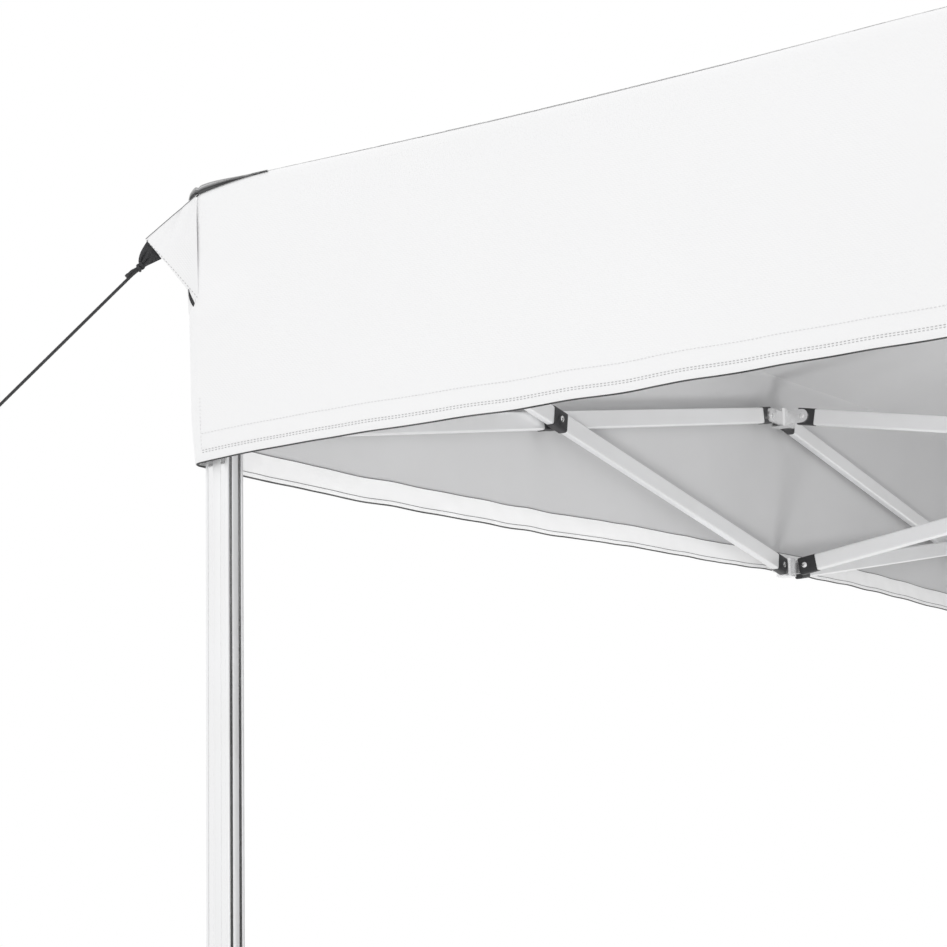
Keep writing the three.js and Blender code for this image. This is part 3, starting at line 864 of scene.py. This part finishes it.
def make_gore(k, index):
    """One narrow sector of the roof, from the peak patch to the eave of the k-th side."""
    quarter = turned(k)
    first, last = [2 * i / GORES_A_SIDE - 1 for i in (index, index + 1)]
    inner = PEAK_PATCH_RADIUS * GORE_TOP_SHARE
    rows, normals = [], []
    for down in steps(GORE_ROWS):
        depth = inner + (CLOTH_HALF - 0.001 - inner) * down ** GORE_CROWDING
        row = []
        for across in reversed(steps(GORE_COLUMNS)):
            share = first + (last - first) * across
            spot = quarter @ Vector((share * depth, -depth, 0))
            spot.z = roof_height(spot.x, spot.y)
            row.append(spot)
            normals.append(roof_normal(spot.x, spot.y))
        rows.append(row)
    made = cloth_solid(f"roof_{SIDES[k]}_gore_{index + 1:02d}", rows, CLOTH_THICKNESS, ROOF_CLOTH, normals)
    both = normals + [-n for n in normals]
    made.data.normals_split_custom_set([tuple(both[loop.vertex_index]) for loop in made.data.loops])
    attach(made, "upper_hub")
    outward = quarter @ Vector(((first + last) / 2, -1, 0)).normalized()
    return made, outward


def make_roof():
    for k in range(4):
        for index in range(GORES_A_SIDE):
            gore, outward = make_gore(k, index)
            if k == 0 and index == 0:
                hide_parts("canopy")
            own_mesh(gore)


def make_peak_patch():
    """A round patch of doubled cloth over the mast head."""
    loops = []
    for ring in range(PATCH_RINGS):
        radius = PEAK_PATCH_RADIUS * (1 - ring / PATCH_RINGS)
        lift = PATCH_LIFT if ring else PATCH_RIM_LIFT
        loops.append([(x, y, roof_height(x, y) + lift) for x, y, _ in level_circle(radius, 0, PATCH_SIDES)])
    upper, faces = rings(loops, "open")
    top = len(upper)
    upper.append((0, 0, roof_height(0, 0) + 0.001))
    last = top - PATCH_SIDES
    faces += [(last + i, last + (i + 1) % PATCH_SIDES, top) for i in range(PATCH_SIDES)]
    lower = [(x, y, z - PATCH_THICKNESS) for x, y, z in upper]
    size = top + 1
    below = [tuple(size + i for i in reversed(face)) for face in faces]
    rim = [((i + 1) % PATCH_SIDES, i, size + i, size + (i + 1) % PATCH_SIDES) for i in range(PATCH_SIDES)]
    slots = [0] * len(faces) + [1] * len(below) + [0] * len(rim)
    patch = mesh_object("roof_peak_patch", upper + lower, faces + below + rim, ROOF_CLOTH, slots, CLOTH_SHARP)
    diagonal = PEAK_PATCH_RADIUS * sqrt(0.5)
    rim_z = roof_height(diagonal, diagonal) + PATCH_STILL
    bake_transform(patch)


# ---- The valances ----
BULGE = 0.0085
BULGE_REACH = 0.055
BULGE_TOP_Z = FLAP_BOTTOM_Z + 0.006
BULGE_FADE = 0.05           # over its top
RIPPLE = 0.0022
RIPPLE_REACH = 0.2
HEM_WAVE = 0.0022
HEM_WAVE_REACH = 0.15
HEM_SHIVER = 0.0014
TOP_ROLL = 0.0016           # how far the valance's top edge rolls back
TAPE_GAP = 0.0004
TAPE_BELLY = 0.0006
PUCKER_REACH = 0.04
ROLLED_EDGE_SHARE = 0.015
TAPE_THICKNESS = 0.0009
TAPE_PUCKER = 0.0016
ROLL_THICKNESS = 0.0007
# The cord of painted shadow under the hem.
HEM_SHADOW_RADIUS = 0.0014
HEM_SHADOW_INSET = 0.0011
HEM_SHADOW_DROP = 0.0006
# Dark cords of painted shade along the tape's seams.
LOWER_SEAM_RADIUS = 0.0004
LOWER_SEAM_PROUD = 0.0011
LOWER_SEAM_SHARE = 0.84     # down the tape
UPPER_SEAM_RADIUS = 0.0006
UPPER_SEAM_PROUD = 0.0007
STITCH_PITCH = 0.0042
HEM_ROWS = (0.0088, 0.0112)     # heights of the hem's two rows of stitches
STITCH_MARGIN = 0.014
STITCH_PROUD = 0.0004
SEAM_STITCHES = 14
SEAM_STITCH_PROUD = 0.0001
SEAM_INSET = 0.012


def bulge(z):
    """How far the cloth stands out over the slider, below the corner flap."""
    if z > BULGE_TOP_Z:
        return BULGE * 0.3 * max(0.0, 1 - (z - BULGE_TOP_Z) / BULGE_FADE)
    share = (z - VALANCE_BOTTOM_Z) / (BULGE_TOP_Z - VALANCE_BOTTOM_Z)
    return BULGE * min(1.0, share / 0.25) ** 0.5 * (0.55 + 0.45 * share) if share > 0 else 0.0


def valance_point(s, z, k, proud=0.0):
    """The cloth's outer face on the front side: s is the distance along it from its middle."""
    straight = CLOTH_HALF - CORNER_RADIUS
    sign = 1 if s > 0 else -1
    angle = max(0.0, abs(s) - straight) / CORNER_RADIUS
    x = s
    if angle > 0:
        x = sign * (straight + CORNER_RADIUS * sin(angle))
    outward = Vector((sign * sin(angle), -cos(angle), 0))
    away = max(0.0, HALF_ARC - abs(s))
    level = z - corner_lift(k if s < 0 else (k + 3) % 4)
    push = bulge(level) * exp(-(away / BULGE_REACH) ** 2)
    drop = (EAVE_Z - level) / (EAVE_Z - VALANCE_BOTTOM_Z)
    ripple = RIPPLE * wrinkle(s, 0, z * 0.5, 3.2, 5.0) * min(1, away / RIPPLE_REACH) * (0.3 + drop)
    y = -straight - CORNER_RADIUS * cos(angle)
    return Vector((x, y, z)) + outward * (push + ripple + proud), outward


def along_stations():
    """Distances along a valance, closer together towards its two ends."""
    flat_end = CLOTH_HALF - CORNER_RADIUS
    stations = [flat_end * sin(pi / 2 * share) ** 0.9 for share in steps(90)]
    stations += [flat_end + (HALF_ARC - flat_end) * share for share in steps(4)[1:]]
    return [-s for s in reversed(stations[1:])] + stations


def close_stations():
    """The same, three times as close."""
    wide = along_stations()
    return [a + (b - a) * i / 3 for a, b in zip(wide, wide[1:]) for i in range(3)] + wide[-1:]


def hem_wave(s):
    """The rise and fall of the valance's lower edge."""
    fade = min(1.0, (HALF_ARC - abs(s)) / HEM_WAVE_REACH)
    return fade * (HEM_WAVE * wrinkle(s, 0, 0, 3.0, 9.0) + HEM_SHIVER * wrinkle(s, 0, 0, 15.0, 4.0))


def edge_place(s, k):
    """The place on the edge of the k-th side that is the distance s from its middle."""
    place = turned(k) @ Vector((max(-CLOTH_HALF, min(CLOTH_HALF, s)), -CLOTH_HALF, 0))
    return place.x, place.y


def hem_height(s, k):
    return VALANCE_BOTTOM_Z + edge_lift(*edge_place(s, k), 0.0) + hem_wave(s)


def top_of_valance(s, k):
    return roof_height(*edge_place(s, k)) + 0.0004


def side_rows(k, stations, shares, point_at):
    """Rows of points on the k-th side, in the order that faces them outward."""
    quarter = turned(k)
    return [[quarter @ point_at(s, share, k) for s in reversed(stations)] for share in shares]


def on_side(made, k):
    """Rides on the side's upper middle bracket."""
    attach(made, f"{SIDES[k]}_upper_mid_bracket")
    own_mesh(made)


def face_point(s, share, k):
    """A point on the valance's face, from its rolled top edge at share 0 to its hem at share 1."""
    top, low = top_of_valance(s, k), hem_height(s, k)
    point, outward = valance_point(s, top + (low - top) * share, k)
    return point - outward * TOP_ROLL * max(0.0, 1 - share / ROLLED_EDGE_SHARE)


def make_valance(k):
    side = SIDES[k]
    shares = [0, 0.006, 0.02, 0.045] + [0.09 + 0.80 * step for step in steps(14)] + [0.925, 0.96, 0.985, 1.0]
    rows = side_rows(k, along_stations(), shares, face_point)
    made = cloth_solid(f"{side}_valance", rows, CLOTH_THICKNESS, ROOF_CLOTH)
    on_side(made, k)


def tape_point(s, share, k, proud=0.0):
    """A point on the tape's surface, from its upper edge at share 0 to its lower edge at share 1."""
    z = hem_height(s, k) - TAPE_GAP + TAPE_HEIGHT * (1 - share)
    fade = min(1.0, (HALF_ARC - abs(s)) / PUCKER_REACH)
    pucker = TAPE_PUCKER * fade * wrinkle(s, 0, 0, 38.0, 2.0) * sin(pi * share)
    point, outward = valance_point(s, z, k)
    depth = CLOTH_THICKNESS + TAPE_GAP + TAPE_BELLY * sin(pi * share) - pucker
    return point - outward * (depth + proud)


def roll_point(s, share, k):
    """A point on the rolled edge, which starts on the valance's face and turns under its hem."""
    low = hem_height(s, k)
    if share == 0:
        point, outward = valance_point(s, low + HEM_HEIGHT, k)
        return point + outward * 0.0002
    angle = pi * share * 1.25
    point, outward = valance_point(s, low + 0.0022, k)
    spot = point + outward * (0.0008 * cos(angle) - 0.0001)
    spot.z = low + 0.0010 - 0.0018 * sin(angle)
    return spot


def make_hem(k):
    """The doubled strip at the lower edge: a puckered white tape inside, and a rolled edge outside."""
    stations = close_stations()
    inside = side_rows(k, stations, steps(6), tape_point)
    on_side(cloth_solid(f"{SIDES[k]}_hem_tape", inside, TAPE_THICKNESS, ["tape", "tape"]), k)
    roll = side_rows(k, stations, steps(8), roll_point)
    on_side(cloth_solid(f"{SIDES[k]}_rolled_hem", roll, ROLL_THICKNESS, ["cloth_outside", "tape"]), k)


def make_hem_shadow_and_seam_shade(k):
    """A thin dark cord of painted shadow under the hem, and two dark cords of painted shade along the tape's
    upper and lower seams inside.
    """
    quarter = turned(k)
    edge, lower, upper = [], [], []
    for s in close_stations():
        point, outward = valance_point(s, hem_height(s, k), k)
        edge.append(quarter @ (point - outward * HEM_SHADOW_INSET - Z * HEM_SHADOW_DROP))
        lower.append(quarter @ tape_point(s, LOWER_SEAM_SHARE, k, LOWER_SEAM_PROUD))
        upper.append(quarter @ tape_point(s, 0.0, k, UPPER_SEAM_PROUD))
    shadow_cord, seams = Build(), Build()
    for build, line, radius in ((shadow_cord, edge, HEM_SHADOW_RADIUS), (seams, lower, LOWER_SEAM_RADIUS),
                                (seams, upper, UPPER_SEAM_RADIUS)):
        tube_along(build, line, [radius] * len(line))
    on_side(shadow_cord.piece(f"{SIDES[k]}_hem_shadow_cord", "painted_hem_shadow"), k)
    on_side(seams.piece(f"{SIDES[k]}_tape_seams", "seam"), k)


# A stitch's corners, as (along, across, off the cloth) in halves of its length and width and in its height.
STITCH_POINTS = ((-1, 0, 0), (-0.6, 1, 0), (0.6, 1, 0), (1, 0, 0), (0.6, -1, 0), (-0.6, -1, 0),
                 (-0.5, 0, 1), (0.5, 0, 1))
STITCH_FACES = ((0, 6, 5), (0, 1, 6), (1, 2, 7, 6), (2, 3, 7), (3, 4, 7), (4, 5, 6, 7), (5, 4, 3, 2, 1, 0))


def stitch_row(build, spots, length=0.0030, width=0.0008, height=0.0004):
    """Small rounded stitches, one on each (place, direction, outward)."""
    for spot, direction, outward in spots:
        side = outward.cross(direction).normalized()
        half, across, up = direction * length / 2, side * width / 2, outward * height
        build.add([spot + half * x + across * y + up * z for x, y, z in STITCH_POINTS], STITCH_FACES)


def side_stitches(build, k, places, direction, proud):
    """A row of stitches on the k-th side, with places as (distance along it, height over its hem)."""
    quarter = turned(k)
    spots = []
    for s, height in places:
        point, outward = valance_point(s, hem_height(s, k) + height, k, proud)
        spots.append((quarter @ point, quarter @ direction, quarter @ outward))
    stitch_row(build, spots)


def make_valance_stitches(k):
    """Two rows of stitches at the hem, one at the tape's upper edge, and one up each corner seam."""
    hem, pale = Build(), Build()
    count = int(2 * (HALF_ARC - STITCH_MARGIN) / STITCH_PITCH) + 1
    along = [-HALF_ARC + STITCH_MARGIN + i * STITCH_PITCH for i in range(count)]
    for build, height in ((hem, HEM_ROWS[0]), (hem, HEM_ROWS[1]), (pale, TAPE_HEIGHT + 0.0005)):
        side_stitches(build, k, [(s, height) for s in along], X, STITCH_PROUD)
    for s in (SEAM_INSET - HALF_ARC, HALF_ARC - SEAM_INSET):
        heights = [STITCH_MARGIN + i * STITCH_PITCH for i in range(SEAM_STITCHES)]
        side_stitches(pale, k, [(s, height) for height in heights], Z, SEAM_STITCH_PROUD)
    on_side(hem.piece(f"{SIDES[k]}_hem_stitches", "thread"), k)
    on_side(pale.piece(f"{SIDES[k]}_tape_and_seam_stitches", "pale_thread_and_hole_shade"), k)


# ---- Corner flaps and the folds beside them ----
OUT = Vector((-1, -1, 0)).normalized()
SIDEWAYS = Vector((1, -1, 0)).normalized()
CORNER = Vector((-CLOTH_HALF, -CLOTH_HALF, 0))
FLAP_STEPS = 18
REAR_LAYER_SHORTER = 0.024
FLAP_SEAM_INSET = (0.006, 0.0045)       # at the seam's top, and how much more at its foot
FLAP_SEAM_PROUD = (0.0009, 0.0022)      # the same, off the valance's face
FLAP_TIP_DROP = 0.0012
FLAP_TIP_HALF = 0.0008
FLAP_BELLY = 0.0030
FLAP_CREASE = 0.0020
CREASE_START = 0.30         # as shares of the flap's width, and its length as one of its height
CREASE_SLANT = 0.55
CREASE_WIDTH = 0.07
CREASE_LENGTH = 0.30
MOUTH_HALF = 0.0024
MOUTH_FLATNESS = 0.25
FLAP_STITCHES = 22
TUCK_HEIGHT = 0.0100
TUCK_REACH = 0.0090          # how far it stands out over the flap's top edge
TUCK_LENGTH = 0.100          # along the eave
TUCK_FADE = 0.052
TUCK_PLEAT = 0.0007
TUCK_LEAN = 0.30
TUCK_SINK = 0.0016
FOLD_THICKNESS = 0.0008

# The fold below the flap's foot, as (reach, height over the flap's lowest point, sideways).
FOOT_HIGH_LEFT = (0.0064, 0.0165, 0.0098)
FOOT_HIGH_RIGHT = (0.0000, 0.0080, 0.0088)
FOOT_LOW_LEFT = (0.0036, -0.0100, 0.0000)
FOOT_LOW_RIGHT = (-0.0050, -0.0100, 0.0098)


def corner_point(reach, z, sideways=0.0):
    """A point outward of the front left corner, on or beside its diagonal plane."""
    return CORNER + OUT * reach + SIDEWAYS * sideways + Z * z


def corner_lift(k):
    """How much higher the k-th corner of the cloth is than the roped corner."""
    place = turned(k) @ CORNER
    return edge_lift(place.x, place.y, 1.0)


def cloth_corner(k):
    """What takes the roped corner's cloth to the k-th corner."""
    return turned(k) @ Matrix.Translation(Z * corner_lift(k))


def flap_layer(sign, k):
    """One of a flap's two layers, from its seam on the valance's face out to the tip.

    The sign is 1 for the layer on the front face and -1 for the one on the left face."""
    along, outward = X, -Y
    foot = FLAP_BOTTOM_Z
    if sign < 0:
        along, outward = Y, -X
        foot += REAR_LAYER_SHORTER
    place = cloth_corner(k)
    rows = []
    for down in steps(FLAP_STEPS):
        inset, proud = [base + more * down for base, more in (FLAP_SEAM_INSET, FLAP_SEAM_PROUD)]
        seam = CORNER + along * inset + outward * proud
        seam.z = FLAP_TOP_Z + (foot - FLAP_TOP_Z) * down
        tip = corner_point(FLAP_TIP[0], FLAP_TIP[1] - FLAP_TIP_DROP * down, sign * FLAP_TIP_HALF)
        row = []
        for out in steps(FLAP_STEPS):
            belly = FLAP_BELLY * sin(pi * out) * (0.25 + 0.75 * down)
            off_crease = (out - CREASE_START - down * CREASE_SLANT) / CREASE_WIDTH
            belly -= FLAP_CREASE * exp(-off_crease ** 2) * exp(-(down / CREASE_LENGTH) ** 2)
            row.append(place @ (seam.lerp(tip, out) + SIDEWAYS * sign * belly))
        rows.append(row)
    return rows


def make_flap(k):
    for label, sign in (("front", 1), ("rear", -1)):
        rows = [row[::sign] for row in flap_layer(sign, k)]
        made = cloth_solid(f"{CORNERS[k]}_flap_{label}_layer", rows, CLOTH_THICKNESS * 0.6, WHITE_CLOTH)
        on_leg(made, k)


def make_flap_details(k):
    """Thin dark cords of painted shade along the top edges of a flap's two layers, and the stitches at its
    hem.
    """
    place = cloth_corner(k)
    seams, stitches = Build(), Build()
    for sign in (1, -1):
        layer = flap_layer(sign, k)
        lift = place.to_3x3() @ (SIDEWAYS * sign)
        tube_along(seams, [p + lift * 0.0001 for p in layer[0]], [0.00045] * len(layer[0]))
        hem = [above.lerp(below, 0.2) + lift * 0.0003 for above, below in zip(layer[-2], layer[-1])]
        spots = []
        for i in range(FLAP_STITCHES):
            place_in_hem = (i + 0.5) / FLAP_STITCHES * FLAP_STEPS
            c = int(place_in_hem)
            spot = hem[c].lerp(hem[c + 1], place_in_hem - c)
            spots.append((spot, (hem[c + 1] - hem[c]).normalized(), lift))
        stitch_row(stitches, spots, 0.0024, 0.0006, 0.0003)
    on_leg(seams.piece(f"{CORNERS[k]}_flap_top_seams", "seam"), k)
    on_leg(stitches.piece(f"{CORNERS[k]}_flap_stitches", "thread"), k)


def foot_point(down, across):
    """A point on the fold below a flap's foot."""
    left = Vector(FOOT_HIGH_LEFT).lerp(Vector(FOOT_LOW_LEFT), down)
    right = Vector(FOOT_HIGH_RIGHT).lerp(Vector(FOOT_LOW_RIGHT), down)
    reach, height, sideways = left.lerp(right, across)
    return corner_point(reach, FLAP_BOTTOM_Z + height, sideways + 0.0012 * sin(pi * across))


def make_flap_foot(k):
    """The fold of valance cloth below the flap's foot, and against it a dark lens of painted shadow that
    stands for the pocket's open mouth.
    """
    place = cloth_corner(k)
    rows = [[place @ foot_point(down, across) for across in steps(8)] for down in steps(10)]
    fold = cloth_solid(f"{CORNERS[k]}_flap_foot_fold", rows, FOLD_THICKNESS, WHITE_CLOTH)
    # A dark lens of painted shadow where the pocket opens.
    loops = []
    for t in steps(14):
        half = MOUTH_HALF * sin(pi * min(0.97, max(0.03, t))) ** 0.7
        middle = foot_point(0.92 - 0.90 * t, 0.92 - 0.82 * t) + SIDEWAYS * 0.0012
        loops.append(circle_about(middle, OUT * half, SIDEWAYS * half * MOUTH_FLATNESS, 12))
    mouth = Build()
    mouth.add(*rings(loops), place=place)
    for made in (fold, mouth.piece(f"{CORNERS[k]}_flap_mouth", "painted_pocket_shadow")):
        on_leg(made, k)


def tuck_point(along, up, k):
    """A point on the tuck, where along is 0 at the corner, from its foot at up = 0 to its rim."""
    top = top_of_valance(-HALF_ARC, k)
    if along < 0:
        height = TUCK_HEIGHT * sqrt(max(0.0, 1 - (along / TUCK_REACH) ** 2))
        arc_middle = CORNER_RADIUS * (sqrt(2) - 1)
        return turned(k) @ corner_point(-along - arc_middle, top + 0.7 * along + height * up, 0.0012)
    s = -HALF_ARC + along
    point, outward = valance_point(s, top, k)
    height = 0.0004 + TUCK_HEIGHT * exp(-(along / TUCK_FADE) ** 2)
    pleat = TUCK_PLEAT * sin(up * pi * 4.0 + along * 40.0) * min(1.0, along / 0.01)
    point.z = top_of_valance(s, k) - TUCK_SINK + height * up
    return turned(k) @ (point + outward * (0.0004 + pleat - TUCK_LEAN * height * up))


def make_corner_fold(k):
    """The tuck of roof cloth that stands up over the corner's edge. Its white cloth is painted with the
    fold's shade in three bands, dark at the foot, grey in the middle and pale at the top, under a thin grey
    rim.
    """
    places = [-TUCK_REACH * (1 - share) for share in steps(7)[:-1]]
    places += [TUCK_LENGTH * share ** 1.2 for share in steps(36)]
    made = []
    # Each look is a band of painted shade, deepest at the foot of the fold.
    for label, low, high, look in (("foot", 0.0, 0.52, "dark"), ("middle", 0.46, 0.80, "grey"),
                                   ("upper", 0.76, 1.0, "pale")):
        ups = [high + (low - high) * step for step in steps(4)]
        rows = [[tuck_point(along, up, k) for along in reversed(places)] for up in ups]
        name = f"{CORNERS[k]}_corner_tuck_{label}"
        made.append(cloth_solid(name, rows, FOLD_THICKNESS, [f"tuck_{look}"] * 2))
    rim = Build()
    tube_along(rim, [tuck_point(along, 1.0, k) for along in places], [0.0005] * len(places))
    made.append(rim.piece(f"{CORNERS[k]}_corner_tuck_rim", "thread"))
    for piece in made:
        on_leg(piece, k)


# ---- The guy rope and the webbing ----
FLAP_EDGE = (Vector((0, FLAP_BOTTOM_Z)) - Vector(FLAP_TIP)).normalized()
FLAP_OUTWARD = Vector((-FLAP_EDGE.y, FLAP_EDGE.x))
KNOT_AT = Vector(FLAP_TIP) + FLAP_EDGE * KNOT_PLACE[0] + FLAP_OUTWARD * KNOT_PLACE[1]
ROPE_DIRECTION = Vector((cos(ROPE_SLOPE), -sin(ROPE_SLOPE)))
ROPE_START = KNOT_AT + ROPE_DIRECTION * KNOT_LENGTH
ROPE_END = ROPE_START + ROPE_DIRECTION * ROPE_LENGTH
ROPE_STEPS = 260
ROPE_SIDES = 16
ROPE_LAY = 0.012            # the length of one turn of a strand
ROPE_RELIEF = 0.05
WEBBING_THICKNESS = 0.0013
WEBBING_PLEAT = 0.0020
WEBBING_BELLY = 0.0030
GATHERED_WIDTH = 0.0052
NECK_RADIUS = 0.0030
SHORT_NECK = 0.008          # of the ties that hold no rope
TURN_RADIUS = 0.0028
TURN_THICKNESS = 0.0018
KNOT_TURNS = ((-0.0016, 0.0012), (0.0011, -0.0013), (0.0037, 0.0015))   # each one's shift and lean
STRAND_GUIDE = (0.2, 0.1, 1)
TAIL_START = 0.004          # the rope's loose end, along the rope from the knot's middle
TAIL_LENGTH = 0.0175
TAIL_RISE = 0.0026
TAIL_OUT = 0.0016
TAIL_RADIUS = 0.0019
TAIL_END_RADIUS = 0.0024


def rope_route():
    """Points along the taut rope, from its knot to its tensioner."""
    start, end = corner_point(*ROPE_START), corner_point(*ROPE_END)
    return [start + (end - start) * share for share in steps(30)]


def make_rope():
    """A braided rope, as a tube whose surface follows eight crossing strands."""
    route = rope_route()
    way = route[-1] - route[0]
    side = way.cross(Z).normalized()
    up = side.cross(way.normalized())
    loops = []
    for share in steps(ROPE_STEPS):
        centre = route[0] + way * share
        twist = 2 * pi * way.length * share / ROPE_LAY
        loop = []
        for j, (c, s) in enumerate(circle(ROPE_SIDES)):
            angle = 4 * pi * j / ROPE_SIDES
            strands = abs(sin(angle + twist) * sin(angle - twist))
            radius = ROPE_DIAMETER / 2 * (1 - ROPE_RELIEF * strands)
            loop.append(centre + side * radius * c + up * radius * s)
        loops.append(loop)
    build = Build()
    build.add(*rings(loops))
    rope = build.piece("guy_rope_braid", "webbing", sharp=80)
    on_leg(rope, 0)
    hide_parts("guy_rope")
    return rope, route


def gathered_webbing(k, name):
    """The webbing that is sewn to the flap's edge, gathered into the knot."""
    place = cloth_corner(k)
    rows = []
    for t in steps(16):
        row = []
        for w in steps(20):
            start = Vector(FLAP_TIP) + FLAP_EDGE * (0.002 + WEBBING_WIDTH * w)
            start -= FLAP_OUTWARD * 0.0012 * (1 - t)
            end = KNOT_AT + FLAP_EDGE * (w - 0.5) * GATHERED_WIDTH
            spot = start.lerp(end, t ** (0.85 if w < 0.5 else 0.65))
            spot += FLAP_OUTWARD * 0.0035 * sin(pi * t) * (1 - w) ** 2
            depth = sin(pi * min(1, t * 0.9 + 0.05)) * (0.2 + t)
            pleat = WEBBING_PLEAT * sin(w * pi * 6) * depth
            belly = WEBBING_BELLY * sin(pi * t) * sin(pi * w)
            row.append(place @ corner_point(spot.x, spot.y, pleat + belly))
        rows.append(row)
    made = cloth_solid(name, rows, WEBBING_THICKNESS, ["webbing", "webbing"])
    on_leg(made, k)
    return made


def knot_turn(build, centre, axis, lean, place):
    """One turn of cord round the gathered webbing."""
    side = axis.cross(Vector((0.3, 0.5, 0.8))).normalized()
    up = axis.cross(side)
    loops = []
    for c, s in circle(28):
        outward = side * c + up * s
        middle = centre + outward * TURN_RADIUS + axis * lean * s
        loops.append(circle_about(middle, outward * TURN_THICKNESS, axis * TURN_THICKNESS, 10))
    build.add(*rings(loops, "joined"), place=place)


def make_knot(k, name, tail):
    """The rope's knot on the webbing: crossed turns, and the rope's short loose end beside it."""
    place = cloth_corner(k)
    build = Build()
    middle, start = corner_point(*KNOT_AT), corner_point(*ROPE_START)
    axis = (start - middle).normalized()
    for shift, lean in KNOT_TURNS:
        knot_turn(build, middle + axis * shift, axis, lean, place)
    end = start if tail else middle + axis * SHORT_NECK
    shares = steps(12)
    neck = [NECK_RADIUS + (ROPE_DIAMETER / 2 - NECK_RADIUS) * min(1, t * 1.4) for t in shares]
    tube_along(build, [middle.lerp(end, t) for t in shares], neck, 14, STRAND_GUIDE, place)
    if tail:
        loose = Z * TAIL_RISE + OUT * TAIL_OUT
        path = [
            middle + axis * (TAIL_START + TAIL_LENGTH * t) + loose * min(1, 1.6 * t + 0.2)
            for t in shares
        ]
        radii = [TAIL_END_RADIUS if t > 0.82 else TAIL_RADIUS for t in shares]
        tube_along(build, path, radii, 14, STRAND_GUIDE, place)
    made = build.piece(name, "webbing", sharp=70)
    on_leg(made, k)
    return made


def stadium(length, width, count=32):
    """A long outline with round ends, anticlockwise."""
    radius = width / 2
    straight = length / 2 - radius
    points = []
    for i in range(count):
        angle = 2 * pi * (i + 0.5) / count
        x = radius * cos(angle) + copysign(straight, cos(angle))
        points.append((x, radius * sin(angle)))
    return points


def make_tensioner():
    """The flat slotted runner on the rope's end."""
    direction = (corner_point(*ROPE_END) - corner_point(*ROPE_START)).normalized()
    middle = corner_point(*(ROPE_END + ROPE_DIRECTION * (TENSIONER_LENGTH / 2 + TENSIONER_GAP)))
    across = SIDEWAYS.cross(direction)
    place = Matrix.Translation(middle) @ Matrix((direction, across, SIDEWAYS)).transposed().to_4x4()
    half, soft = TENSIONER_THICKNESS / 2, TENSIONER_EDGE
    slot = stadium(TENSIONER_SLOT_LENGTH, TENSIONER_SLOT_WIDTH)
    full = stadium(TENSIONER_LENGTH, TENSIONER_WIDTH)
    trimmed = stadium(TENSIONER_LENGTH - 2 * soft, TENSIONER_WIDTH - 2 * soft)
    levels = ((trimmed, -half), (full, soft - half), (full, half - soft), (trimmed, half))
    levels += ((slot, half), (slot, -half))
    build = Build()
    build.add(*rings([[(x, y, z) for x, y in outline] for outline, z in levels], "joined"), place=place)
    made = build.piece("rope_runner", "plastic")
    on_leg(made, 0)
    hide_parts("rope_tensioner")
    return made


def make_guy_rope():
    rope, route = make_rope()
    webbing = gathered_webbing(0, "front_left_corner_webbing")
    knot = make_knot(0, "guy_rope_knot", True)
    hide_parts("corner_webbing")
    make_tensioner()


def make_other_webbing():
    for k in (1, 2, 3):
        gathered_webbing(k, f"{CORNERS[k]}_corner_webbing")
        make_knot(k, f"{CORNERS[k]}_webbing_tie", False)


M = {}
make_camera()
M.update(make_materials())
make_guy_rope()
make_studio()
make_trusses()
make_legs()
make_centre()
make_roof()
make_peak_patch()
for side_number in range(4):
    make_valance(side_number)
    make_hem(side_number)
    make_valance_stitches(side_number)
    make_hem_shadow_and_seam_shade(side_number)
    make_flap(side_number)
    make_flap_details(side_number)
    make_flap_foot(side_number)
    make_corner_fold(side_number)
make_other_webbing()
